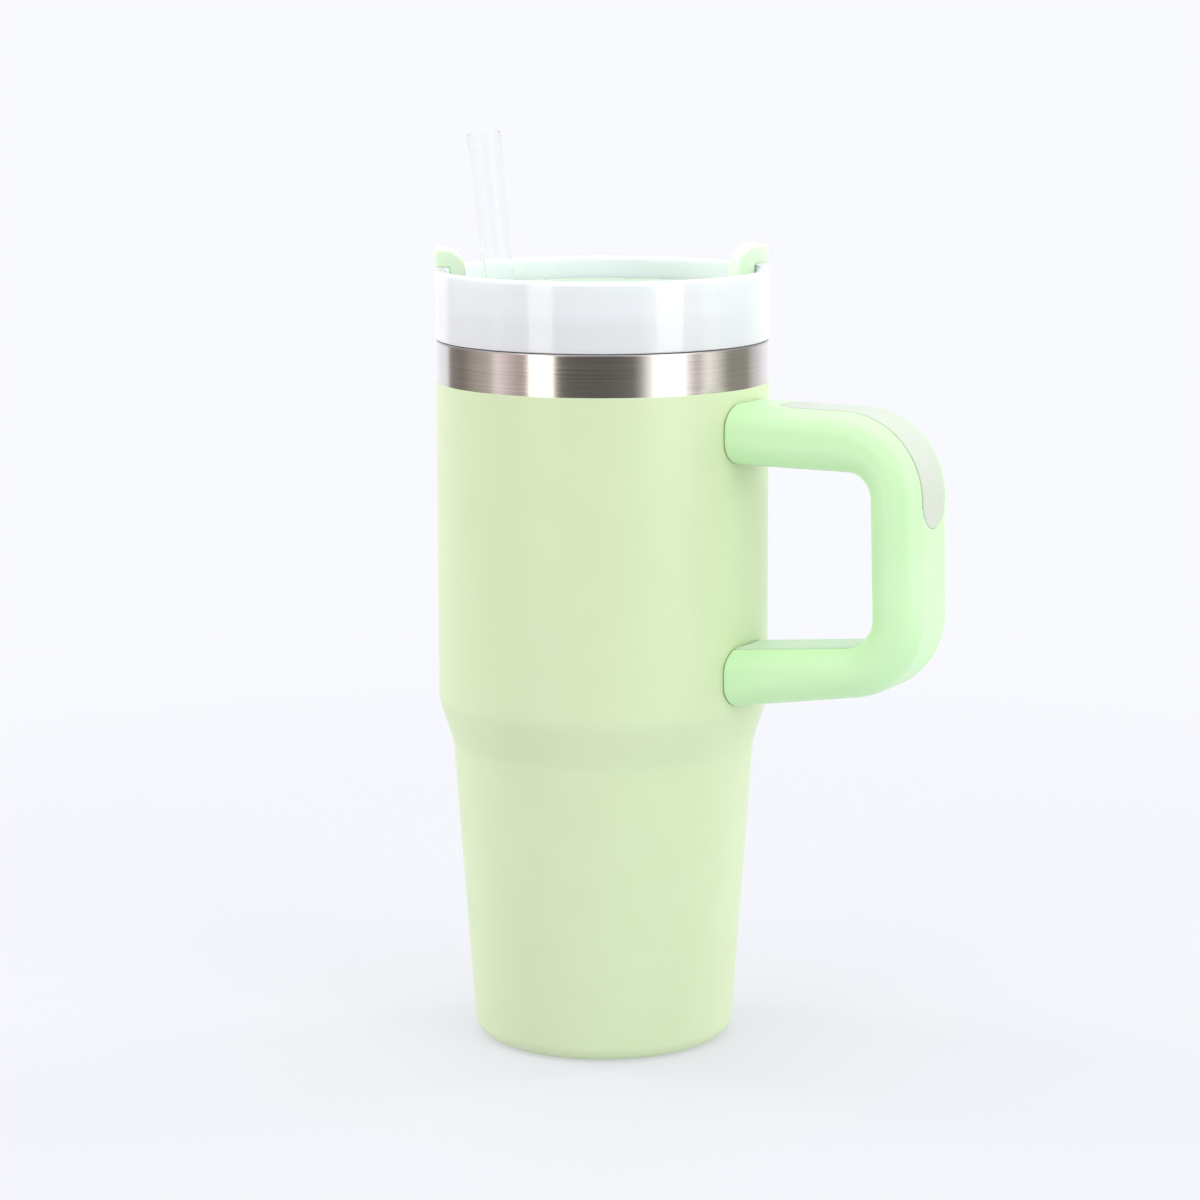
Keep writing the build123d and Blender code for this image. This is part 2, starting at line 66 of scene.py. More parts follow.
# --- small helpers
def linear(hex_colour: str, alpha: float = 1.0) -> tuple[float, float, float, float]:
    """Turn an sRGB hex colour to linear light.

    Args:
        hex_colour: six hex digits.
        alpha: the fourth number.

    Returns:
        Red, green, blue and alpha.
    """
    parts = (int(hex_colour[i : i + 2], 16) / 255 for i in (0, 2, 4))
    red, green, blue = (
        p / 12.92 if p <= 0.04045 else ((p + 0.055) / 1.055) ** 2.4 for p in parts
    )
    return red, green, blue, alpha


def add_node(
    tree: bpy.types.NodeTree,
    kind: str,
    settings: dict | None = None,
    links: dict | None = None,
) -> bpy.types.Node:
    """Add one node with its settings and its incoming links.

    Args:
        tree: the material's or world's node tree.
        kind: the node's type name.
        settings: values by input name or number, or by property name.
        links: output sockets by the name or number of the input they feed.

    Returns:
        The new node.
    """
    node = tree.nodes.new(kind)
    for key, value in (settings or {}).items():
        if isinstance(key, int) or key in node.inputs:
            node.inputs[key].default_value = value
        else:
            setattr(node, key, value)
    for key, socket in (links or {}).items():
        tree.links.new(socket, node.inputs[key])
    return node


def new_material(name: str) -> tuple[bpy.types.Material, bpy.types.NodeTree]:
    """Make a node material without nodes.

    Args:
        name: the material's name.

    Returns:
        The material and its tree.
    """
    material = bpy.data.materials.new(name)
    material.use_nodes = True
    material.node_tree.nodes.clear()
    return material, material.node_tree


def blend(
    tree: bpy.types.NodeTree, share: bpy.types.NodeSocket, first: bpy.types.Node, second: bpy.types.Node
) -> bpy.types.Node:
    """Mix two shaders: the first where share is 0, the second where it is 1."""
    links = {0: share, 1: first.outputs[0], 2: second.outputs[0]}
    return add_node(tree, "ShaderNodeMixShader", links=links)


# --- mesh work
def add_piece(
    name: str,
    shape: tuple[np.ndarray, np.ndarray | list],
    finish: bpy.types.Material,
    body: str,
    slot: str,
    *nodes: str,
    sharp_degrees: float = 40.0,
) -> None:
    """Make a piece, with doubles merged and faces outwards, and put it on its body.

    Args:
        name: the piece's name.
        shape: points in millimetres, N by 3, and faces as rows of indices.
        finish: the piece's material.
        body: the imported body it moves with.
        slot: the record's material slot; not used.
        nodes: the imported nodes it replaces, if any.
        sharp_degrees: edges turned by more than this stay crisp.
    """
    points, faces = shape
    mesh = bpy.data.meshes.new(name)
    rows = faces.tolist() if isinstance(faces, np.ndarray) else faces
    mesh.from_pydata((points * MM).tolist(), [], rows)
    mesh.validate()
    work = bmesh.new()
    work.from_mesh(mesh)
    bmesh.ops.remove_doubles(work, verts=work.verts, dist=1e-7)
    bmesh.ops.dissolve_degenerate(work, edges=work.edges, dist=1e-8)
    bmesh.ops.recalc_face_normals(work, faces=work.faces)
    if work.calc_volume(signed=True) < 0:
        bmesh.ops.reverse_faces(work, faces=work.faces)
    work.to_mesh(mesh)
    work.free()
    mesh.shade_smooth()
    mesh.set_sharp_from_angle(angle=math.radians(sharp_degrees))
    mesh.materials.append(finish)
    piece = bpy.data.objects.new(name, mesh)
    bpy.context.scene.collection.objects.link(piece)
    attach(piece, body)
    if nodes:
        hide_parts(*nodes)
    LOG.info("%s rides on %s, %d faces", piece.name, body, len(piece.data.polygons))


def grid_faces(rows: int, columns: int, wrap_rows: bool, wrap_columns: bool) -> np.ndarray:
    """Quads of a grid of points: each joins a point to the next in both directions.

    Args:
        rows: points along the first direction.
        columns: points along the second direction.
        wrap_rows: whether the last row meets the first.
        wrap_columns: whether the last column meets the first.

    Returns:
        One row of four indices for each quad.
    """
    i = np.arange(rows if wrap_rows else rows - 1)[:, None]
    j = np.arange(columns if wrap_columns else columns - 1)[None, :]
    i2, j2 = (i + 1) % rows, (j + 1) % columns
    corners = [i * columns + j, i * columns + j2, i2 * columns + j2, i2 * columns + j]
    return np.stack([np.broadcast_to(c, (i.size, j.size)) for c in corners], -1).reshape(-1, 4)


def rounded(corners: list[tuple[float, float, float]], steps: int = 7) -> np.ndarray:
    """Closed outline through corners (a, b, radius), each corner replaced by a tangent arc.

    The arc's centre lies on the corner's bisector, radius / sin(half the corner) away.

    Args:
        corners: position and radius of each corner in order.
        steps: points on each arc, less one.

    Returns:
        The outline's points, N by 2.
    """
    spots = np.array([c[:2] for c in corners], float)
    arcs = []
    for index, (_, _, radius) in enumerate(corners):
        here = spots[index]
        if radius <= 0:
            arcs.append(here[None])
            continue
        back = spots[index - 1] - here
        ahead = spots[(index + 1) % len(corners)] - here
        back, ahead = back / np.linalg.norm(back), ahead / np.linalg.norm(ahead)
        half = math.acos(np.clip(back @ ahead, -1, 1)) / 2
        middle = (back + ahead) / np.linalg.norm(back + ahead)
        centre = here + middle * radius / math.sin(half)
        first = here + back * radius / math.tan(half) - centre
        last = here + ahead * radius / math.tan(half) - centre
        start = math.atan2(first[1], first[0])
        sweep = (math.atan2(last[1], last[0]) - start + math.pi) % (2 * math.pi) - math.pi
        turn = start + sweep * np.linspace(0, 1, steps + 1)
        arcs.append(centre + radius * compass(turn))
    return np.concatenate(arcs)


def lathe(outline: np.ndarray, segments: int = 192) -> tuple[np.ndarray, np.ndarray]:
    """Turn a closed outline of (radius, height) about Z: x = r cos t, y = r sin t, z = h.

    Args:
        outline: N by 2, closed.
        segments: steps round the axis.

    Returns:
        Points and quads.
    """
    turn = np.linspace(0, 2 * np.pi, segments, endpoint=False)[:, None]
    radius, height = outline[:, 0][None], outline[:, 1][None]
    x, y = radius * np.cos(turn), radius * np.sin(turn)
    points = np.stack([x, y, np.broadcast_to(height, x.shape)], -1)
    return points.reshape(-1, 3), grid_faces(*x.shape, True, True)


def tube_faces(rows: int, columns: int) -> list:
    """Faces of a tube made of closed sections, with a cap on each end."""
    caps = [list(range(columns)), list(range((rows - 1) * columns, rows * columns))]
    return grid_faces(rows, columns, False, True).tolist() + caps


def compass(turn: np.ndarray | float) -> np.ndarray:
    """Unit vectors (cos t, sin t) at angles in radians."""
    return np.stack([np.cos(turn), np.sin(turn)], -1)


def outward(loop: np.ndarray) -> np.ndarray:
    """Unit normals of a closed loop in the plane, pointing to the right of its direction.

    Args:
        loop: N by 2.

    Returns:
        One normal for each point, square to the line between its neighbours.
    """
    along = np.roll(loop, -1, 0) - np.roll(loop, 1, 0)
    along /= np.maximum(np.linalg.norm(along, axis=1, keepdims=True), 1e-9)
    return np.stack([along[:, 1], -along[:, 0]], -1)


def spaced(loop: np.ndarray, step: float) -> np.ndarray:
    """Add points on a closed loop's long sides, at even shares of each side.

    Args:
        loop: N by 2.
        step: neighbours end up no further apart than this.

    Returns:
        The loop with more points.
    """
    ahead = np.roll(loop, -1, 0)
    counts = np.maximum(1, np.ceil(np.linalg.norm(ahead - loop, axis=1) / step).astype(int))
    side = np.repeat(np.arange(len(loop)), counts)
    start = np.repeat(np.cumsum(counts) - counts, counts)
    share = (np.arange(counts.sum()) - start) / counts[side]
    return loop[side] + (ahead - loop)[side] * share[:, None]


def slab(
    outer: np.ndarray,
    holes: list[np.ndarray],
    low: float,
    high: float,
    edge: float,
) -> tuple[np.ndarray, list]:
    """A flat plate with rounded edges from closed loops.

    Each loop is carried through five levels: in by edge at the foot, out to the loop, up, and
    in again at the top, along quarter circles. Both flat faces are then filled between loops.

    Args:
        outer: outline anticlockwise, N by 2.
        holes: outlines of the holes, anticlockwise.
        low: height of the underside.
        high: height of the top.
        edge: radius of the rounded edges.

    Returns:
        Points and faces.
    """
    bend = np.linspace(0, np.pi / 2, 5)
    inset = np.concatenate([edge * (1 - np.sin(bend)), edge * (1 - np.sin(bend[::-1]))])
    level = np.concatenate([low + edge * (1 - np.cos(bend)), high - edge * (1 - np.cos(bend[::-1]))])
    points, faces, rims, offset = [], [], [], 0
    for loop, side in [(outer, 1.0)] + [(hole, -1.0) for hole in holes]:
        moved = loop[None] - side * outward(loop)[None] * inset[:, None, None]
        heights = np.broadcast_to(level[:, None, None], (len(level), len(loop), 1))
        points.append(np.concatenate([moved, heights], -1).reshape(-1, 3))
        faces += (grid_faces(len(level), len(loop), False, True) + offset).tolist()
        rims.append((offset, len(loop), moved[0], moved[-1]))
        offset += len(level) * len(loop)
    for top in (False, True):
        flat = np.concatenate([r[3] if top else r[2] for r in rims])
        index = np.concatenate(
            [r[0] + np.arange(r[1]) + (len(level) - 1) * r[1] * top for r in rims]
        )
        starts = np.cumsum([0] + [r[1] for r in rims])
        loops = [
            list(range(a, b)) if k == 0 else list(range(b - 1, a - 1, -1))
            for k, (a, b) in enumerate(zip(starts[:-1], starts[1:]))
        ]
        edges = [(l[k], l[(k + 1) % len(l)]) for l in loops for k in range(len(l))]
        cells = delaunay_2d_cdt([Vector(p) for p in flat], edges, [], 1, 1e-7)
        wanted = [c for c in cells[2] if inside_plate(flat, starts, cells[0], c)]
        origin = [ids[0] if ids else -1 for ids in cells[3]]
        faces += [[int(index[origin[v]]) for v in c] for c in wanted]
    return np.concatenate(points), faces


def inside_plate(flat: np.ndarray, starts: np.ndarray, spots: list, cell: list) -> bool:
    """Whether a triangle's middle is in the outer loop and in none of the holes.

    Args:
        flat: the loops' points one after another.
        starts: where each loop starts in flat.
        spots: the triangulation's points.
        cell: the triangle's indices.

    Returns:
        True if an odd number of loops hold the middle.
    """
    middle = np.mean([spots[v] for v in cell], axis=0)
    count = 0
    for a, b in zip(starts[:-1], starts[1:]):
        here, ahead = flat[a:b], np.roll(flat[a:b], -1, 0)
        straddles = (here[:, 1] > middle[1]) != (ahead[:, 1] > middle[1])
        rise = np.where(ahead[:, 1] == here[:, 1], 1e-12, ahead[:, 1] - here[:, 1])
        cross = here[:, 0] + (middle[1] - here[:, 1]) / rise * (ahead[:, 0] - here[:, 0])
        count += int(np.sum(straddles & (middle[0] < cross)))
    return count % 2 == 1


def circle(radius: float, x: float = 0.0, y: float = 0.0, steps: int = 96) -> np.ndarray:
    """An anticlockwise circle's points."""
    turn = np.linspace(0, 2 * np.pi, steps, endpoint=False)
    return np.array([x, y]) + radius * compass(turn)


def bent_slot(radius: float, centre: float, half_angle: float, width: float) -> np.ndarray:
    """A slot bent round the axis: two arcs joined by half circles, anticlockwise.

    Args:
        radius: of the slot's middle line.
        centre: direction of its middle, in degrees.
        half_angle: from the middle to each end's centre, in degrees.
        width: across the slot.

    Returns:
        The outline's points.
    """
    low, high = math.radians(centre - half_angle), math.radians(centre + half_angle)
    run, cap = np.linspace(low, high, 25), np.linspace(0, np.pi, 15)[1:-1]
    half = width / 2
    far_end = radius * compass(high) + half * compass(high + cap)
    near_end = radius * compass(low) + half * compass(low + cap + np.pi)
    arcs = [(radius + half) * compass(run), far_end, (radius - half) * compass(run[::-1]), near_end]
    return np.concatenate(arcs)


def shifted(shape: tuple[np.ndarray, np.ndarray], x: float, y: float) -> tuple[np.ndarray, np.ndarray]:
    """The shape moved sideways."""
    return shape[0] + np.array([x, y, 0.0]), shape[1]


def turned(shape: tuple[np.ndarray, list], degrees: float) -> tuple[np.ndarray, list]:
    """The shape turned about Z by a: x' = x cos a - y sin a, y' = x sin a + y cos a.

    Args:
        shape: points and faces.
        degrees: the angle, anticlockwise seen from above.

    Returns:
        The turned points and the same faces.
    """
    (x, y, z), angle = shape[0].T, math.radians(degrees)
    c, s = math.cos(angle), math.sin(angle)
    return np.stack([c * x - s * y, s * x + c * y, z], -1), shape[1]


# --- finishes
class Coordinates(Enum):
    """How a pattern's fine direction lies on the mug, as stretches of its noise along X, Y, Z."""

    EVEN = (1.0, 1.0, 1.0)
    ROUND_THE_BODY = (0.004, 0.004, 1.0)


@dataclass(frozen=True)
class Grain:
    """Noise whose cells measure size_mm across, drawn out along the direction of the lay."""

    size_mm: float
    detail: float = 2.0
    lay: Coordinates = Coordinates.EVEN

    def socket(self, tree: bpy.types.NodeTree) -> bpy.types.NodeSocket:
        """Add the noise to a material's tree.

        Args:
            tree: the tree.

        Returns:
            The noise's value socket.
        """
        scale = tuple(stretch / (self.size_mm * MM) for stretch in self.lay.value)
        place = add_node(tree, "ShaderNodeTexCoord")
        drawn = add_node(
            tree, "ShaderNodeMapping", {"Scale": scale}, {"Vector": place.outputs["Object"]}
        )
        settings = {"Scale": 1.0, "Detail": self.detail, "Roughness": 0.55}
        noise = add_node(tree, "ShaderNodeTexNoise", settings, {"Vector": drawn.outputs[0]})
        return noise.outputs[0]


def patterned(
    name: str,
    settings: dict,
    fine: Grain,
    depth_mm: float,
    roughness: tuple[float, float],
    colours: tuple[str, str] | None = None,
    drift: Grain | None = None,
) -> bpy.types.Material:
    """A material whose roughness, relief and colour follow its patterns.

    Args:
        name: the material's name.
        settings: the shader's plain values.
        fine: the pattern of the roughness and the relief.
        depth_mm: depth of the relief.
        roughness: where the fine pattern is low and where it is high.
        colours: where the colour's pattern is low and where it is high, or None if plain.
        drift: the colour's pattern, or None for the fine one.

    Returns:
        The material.
    """
    material, tree = new_material(name)
    pattern = fine.socket(tree)
    reach = {
        "From Min": NOISE_LOW, "From Max": NOISE_HIGH, "To Min": roughness[0], "To Max": roughness[1],
    }
    bump = {"Distance": depth_mm * MM, "Strength": 1.0}
    links = {
        "Roughness": add_node(tree, "ShaderNodeMapRange", reach, {"Value": pattern}).outputs[0],
        "Normal": add_node(tree, "ShaderNodeBump", bump, {"Height": pattern}).outputs[0],
    }
    if colours:
        amount = drift.socket(tree) if drift else pattern
        ramp = add_node(tree, "ShaderNodeValToRGB", links={"Fac": amount})
        stops = zip(ramp.color_ramp.elements, (NOISE_LOW, NOISE_HIGH), colours)
        for stop, position, colour in stops:
            stop.position, stop.color = position, linear(colour)
        links["Base Color"] = ramp.outputs[0]
    shader = add_node(tree, "ShaderNodeBsdfPrincipled", settings, links)
    add_node(tree, "ShaderNodeOutputMaterial", links={"Surface": shader.outputs[0]})
    return material


@dataclass(frozen=True)
class PowderCoat:
    """Polyester powder coat baked on steel: satin, with a fine orange-peel surface."""

    colour: str = "D0E1B7"
    deeper: str = "CEDFB4"
    peel_mm: float = 0.9
    peel_depth_mm: float = 0.012
    cloud_mm: float = 14.0
    roughness: float = 0.42

    def material(self) -> bpy.types.Material:
        """The node material: fine peel in the gloss, slow clouds in the colour."""
        return patterned(
            "polyester_powder_coat",
            {"IOR": 1.5, "Specular IOR Level": 0.8},
            Grain(self.peel_mm),
            self.peel_depth_mm,
            (self.roughness - 0.04, self.roughness + 0.05),
            (self.deeper, self.colour),
            Grain(self.cloud_mm),
        )


@dataclass(frozen=True)
class BrushedStainless:
    """304 stainless steel brushed with a belt: fine lines along the lay, softly streaked."""

    name: str = "brushed_304_stainless"
    lay: Coordinates = Coordinates.ROUND_THE_BODY
    light: str = "D8D5D1"
    dark: str = "C6C2BD"
    line_mm: float = 0.12  # coarser than the belt's real 0.05 mm
    roughness: float = 0.13
    anisotropy: float = 0.3
    line_depth_mm: float = 0.0015

    def material(self) -> bpy.types.Material:
        """The node material: lines in the colour, the gloss and the relief."""
        return patterned(
            self.name,
            {"Metallic": 1.0, "Anisotropic": self.anisotropy},
            Grain(self.line_mm, 4.0, self.lay),
            self.line_depth_mm,
            (self.roughness - 0.02, self.roughness + 0.05),
            (self.dark, self.light),
        )


@dataclass(frozen=True)
class MouldedPlastic:
    """Injection-moulded plastic with a fine spark-eroded texture and a satin surface."""

    name: str
    colour: str
    deeper: str
    roughness: float = 0.4
    texture_mm: float = 0.45
    texture_depth_mm: float = 0.006
    glow: float = 0.08
    coat: float = 0.0
    flow_mm: float = 22.0

    def material(self) -> bpy.types.Material:
        """The node material: light that soaks in a little, and slow flow marks in the colour."""
        return patterned(
            self.name,
            {
                "IOR": 1.49,
                "Subsurface Weight": self.glow,
                "Subsurface Scale": 1.5 * MM,
                "Coat Weight": self.coat,
                "Coat Roughness": 0.12,
            },
            Grain(self.texture_mm),
            self.texture_depth_mm,
            (self.roughness - 0.04, self.roughness + 0.05),
            (self.deeper, self.colour),
            Grain(self.flow_mm),
        )


@dataclass(frozen=True)
class SoftRubber:
    """Thermoplastic rubber or silicone: matt, slightly waxy, with a fine moulded grain."""

    name: str
    colour: str
    deeper: str
    roughness: float = 0.62
    grain_mm: float = 0.35
    depth_mm: float = 0.012

    def material(self) -> bpy.types.Material:
        """The node material: a soft sheen over a grainy, matt surface."""
        return patterned(
            self.name,
            {"IOR": 1.45, "Sheen Weight": 0.15, "Subsurface Weight": 0.05, "Subsurface Scale": MM},
            Grain(self.grain_mm, 3.0),
            self.depth_mm,
            (self.roughness - 0.05, self.roughness + 0.08),
            (self.deeper, self.colour),
        )


@dataclass(frozen=True)
class ClearPlastic:
    """Clear or milky copolyester: polished, with a soft flow ripple left by the mould."""

    name: str
    colour: str
    transmission: float
    roughness: float
    glow: float = 0.0
    ior: float = 1.53
    ripple_mm: float = 9.0
    ripple_depth_mm: float = 0.03

    def material(self) -> bpy.types.Material:
        """The node material: light goes through, or spreads inside where it glows."""
        return patterned(
            self.name,
            {
                "Base Color": linear(self.colour),
                "IOR": self.ior,
                "Transmission Weight": self.transmission,
                "Subsurface Weight": self.glow,
                "Subsurface Scale": 1.5 * MM,
                "Subsurface Radius": (1.0, 1.0, 1.0),
            },
            Grain(self.ripple_mm, 1.0),
            self.ripple_depth_mm,
            (self.roughness, self.roughness + 0.04),
        )


@dataclass
class Finishes:
    """Every finish on the mug, made once."""

    def __post_init__(self) -> None:
        """Build the materials."""
        # The coat gives the soft green; the band gives the crisp, streaked reflections.
        self.coat = PowderCoat().material()
        self.steel = BrushedStainless().material()
        # Softer steels for what the cup's inside and the fixings show.
        self.inside_steel = BrushedStainless(
            "electropolished_304_stainless", Coordinates.ROUND_THE_BODY, "CFCCC9", "BDBAB6", 0.5, 0.3, 0.2
        ).material()
        self.plain_steel = BrushedStainless(
            "tumbled_304_stainless", Coordinates.EVEN, "B9B6B2", "A19E9A", 0.5, 0.36, 0.0
        ).material()
        # The handle is a cooler green than the coat, and its inside strip greyer.
        self.handle = MouldedPlastic("moulded_polypropylene", "CDF3C0", "C9F1BC", 0.32).material()
        self.strip = MouldedPlastic("moulded_abs_strip", "CBE4C6", "C4DFC0", 0.46).material()
        # The cover's tabs are glossy and lit from within.
        self.cover = MouldedPlastic(
            "glossy_tinted_san", "E1FEDC", "DDFDD6", 0.2, 0.6, 0.002, 0.6, 0.3
        ).material()
        # Matt greys for the grip's inlay and the dark seam at the arms' ends.
        self.grip = SoftRubber("moulded_tpe_grip", "C8D1C3", "C2CBBC").material()
        self.seam = SoftRubber("tpe_seam_pad", "9CB77F", "92AE76", 0.7).material()
        self.silicone = SoftRubber(
            "translucent_silicone", "E9EFE6", "E1E9DD", 0.5, 0.5, 0.006
        ).material()
        # The ring is milky and polished; the straw is clear, with a weak edge.
        self.lid = ClearPlastic("milky_copolyester", "F1F6FF", 0.2, 0.03, 0.7).material()
        self.straw = ClearPlastic(
            "clear_copolyester", "FDFEFE", 1.0, 0.08, 0.0, 1.19, 9.0, 0.003
        ).material()
        # Small dark pieces of the vacuum's seal.
        self.bead = MouldedPlastic("fused_glass_bead", "4A4A4A", "3C3C3C", 0.2).material()
        self.getter = SoftRubber("sintered_getter", "8C8C8C", "7A7A7A", 0.7).material()


# --- body
@dataclass
class Vessel:
    """The double-wall steel body with its coat, liner, foot disc and sealing bead."""

    finishes: Finishes
    radius: float = 44.0
    coat: float = 0.15
    wall: float = 0.5
    liner_wall: float = 0.4
    gap: float = 3.0
    coat_top: float = 177.3
    coat_edge: float = 0.3
    rim: float = 188.2
    lip: float = 0.6
    shoulder_top: float = 92.25
    shoulder_foot: float = 80.5
    shoulder_radius: float = 40.23
    foot_radius: float = 34.54
    foot_round: float = 4.5
    shoulder_round: float = 12.0
    foot_hole: float = 26.5
    coat_hole: float = 27.7
    floor: float = 7.9
    floor_round: float = 8.6
    thread_start: float = 176.5
    getter_offset: float = 14.0

    def side(self, inset: float, foot: float, foot_round: float, top: float, start: float) -> np.ndarray:
        """The body's outline moved in by inset, from the foot's hole out, up and to the top.

        The taper is a straight line in radius against height; its corners are tangent arcs.

        Args:
            inset: how far inside the coated outline.
            foot: height of the foot.
            foot_round: radius of the corner at the foot.
            top: height of the last point.
            start: radius of the first point.

        Returns:
            Points of (radius, height).
        """
        slope = (self.shoulder_radius - self.foot_radius) / self.shoulder_foot
        corners = [
            (start, foot, 0.0),
            (self.foot_radius + slope * foot - inset, foot, foot_round),
            (self.shoulder_radius - inset, self.shoulder_foot, self.shoulder_round),
            (self.radius - inset, self.shoulder_top, self.shoulder_round),
            (self.radius - inset, top, 0.0),
        ]
        return rounded(corners, 10)

    def make(self) -> None:
        """Build every piece of the vessel."""
        skin, coat, rim = self.coat + self.wall, self.coat, self.rim
        lip = rim - self.liner_wall
        outside = self.side(coat, coat, self.foot_round - coat, lip, self.foot_hole)
        inside = self.side(skin, self.wall, self.foot_round - skin, lip, self.foot_hole)
        shell = lathe(np.concatenate([outside, inside[::-1]]), 256)
        add_piece("steel_shell", shell, self.finishes.steel, "mug", "bare_steel", "outer_shell")

        radius, top = self.radius, self.coat_top
        outside = self.side(0.0, 0.0, self.foot_round, top, self.coat_hole)
        inside = self.side(coat, coat, self.foot_round - coat, top, self.coat_hole)
        edge = rounded(
            [(radius, top - self.coat_edge, 0.0), (radius, top, 0.12), (radius - coat, top, 0.0)], 4
        )
        layer = lathe(np.concatenate([outside[:-1], edge[:-1], inside[::-1]]), 256)
        add_piece("powder_coat_layer", layer, self.finishes.coat, "mug", "powder_coat")

        inset = skin + self.gap
        mouth = radius - inset - self.liner_wall
        inside = self.side(inset + self.liner_wall, self.floor, self.floor_round, rim - self.lip, 0.0)
        under = self.floor - self.liner_wall
        outside = self.side(inset, under, self.floor_round + self.liner_wall, lip, 0.0)
        rolled = rounded(
            [
                (mouth, rim - self.lip, 0.0), (mouth, rim, 0.35),
                (radius - coat, rim, 0.19), (radius - coat, lip, 0.0),
            ],
            5,
        )
        liner = lathe(np.concatenate([inside[:-1], rolled, outside[::-1]]), 224)
        steel = self.finishes.inside_steel
        add_piece("steel_liner", liner, steel, "mug", "bare_steel", "inner_liner")
        ridge = Thread(mouth, self.thread_start, True).shape()
        add_piece("liner_thread", ridge, steel, "mug", "bare_steel")
        self.make_foot()

    def make_foot(self) -> None:
        """Build the dished disc in the foot, its sealing bead and the getter.

        Each outline is a row of corners: radius, height, and the corner's own radius.
        """
        disc = rounded(
            [
                (0.0, 2.9, 0.0), (3.6, 2.9, 0.5), (3.6, 1.8, 0.4), (25.0, 1.8, 0.6),
                (26.5, 0.5, 0.3), (29.0, 0.5, 0.0), (29.0, 1.0, 0.0), (26.7, 1.0, 0.4),
                (25.2, 2.3, 0.9), (4.1, 2.3, 0.5), (4.1, 3.4, 0.3), (0.0, 3.4, 0.0),
            ],
            4,
        )
        steel = self.finishes.plain_steel
        add_piece("foot_disc", lathe(disc, 128), steel, "mug", "base_steel", "base_disc")
        bead = rounded([(0.0, 2.88, 0.0), (2.5, 2.88, 0.2), (2.4, 1.9, 0.8), (0.0, 1.72, 0.0)], 6)
        add_piece("sealing_bead", lathe(bead, 64), self.finishes.bead, "mug", "seal_glass", "vacuum_seal")
        pill = rounded([(0.0, 6.3, 0.0), (4.5, 6.3, 0.3), (4.5, 7.5, 0.1), (0.0, 7.5, 0.0)], 4)
        pill = shifted(lathe(pill, 48), self.getter_offset, 0.0)
        add_piece("getter_pill", pill, self.finishes.getter, "mug", "getter_metal", "getter")


@dataclass
class Thread:
    """A screw ridge on a round wall: one tapered profile carried along a helix."""

    wall: float
    start: float
    inwards: bool
    pitch: float = 4.5
    turns: float = 1.5
    depth: float = 1.0
    root: float = 1.8
    crest: float = 0.8
    sunk: float = 0.12
    fade: float = 0.06
    steps: int = 200

    def shape(self) -> tuple[np.ndarray, list]:
        """Carry the profile round: angle t, height start + pitch t / 2 pi, fading at both ends.

        Returns:
            The ridge's points and faces.
        """
        share = np.linspace(0, 1, self.steps)
        turn = (share * self.turns * 2 * np.pi)[:, None]
        ease = np.clip(np.minimum(share, 1 - share) / self.fade, 0, 1)[:, None]
        swell = np.sqrt(1 - (1 - ease) ** 2)
        side = -1.0 if self.inwards else 1.0
        root, crest = self.root / 2, self.crest / 2
        profile = rounded(
            [
                (-self.sunk, -root, 0.0), (0.0, -root, 0.0), (self.depth, -crest, 0.25),
                (self.depth, crest, 0.25), (0.0, root, 0.0), (-self.sunk, root, 0.0),
            ],
            4,
        )
        flank, rise = profile[:, 0][None], profile[:, 1][None]
        radius = self.wall + side * np.where(flank > 0, flank * swell, flank)
        height = self.start + self.pitch * turn / (2 * np.pi) + rise * (0.3 + 0.7 * swell)
        points = np.stack([radius * np.cos(turn), radius * np.sin(turn), height], -1)
        return points.reshape(-1, 3), tube_faces(*points.shape[:2])


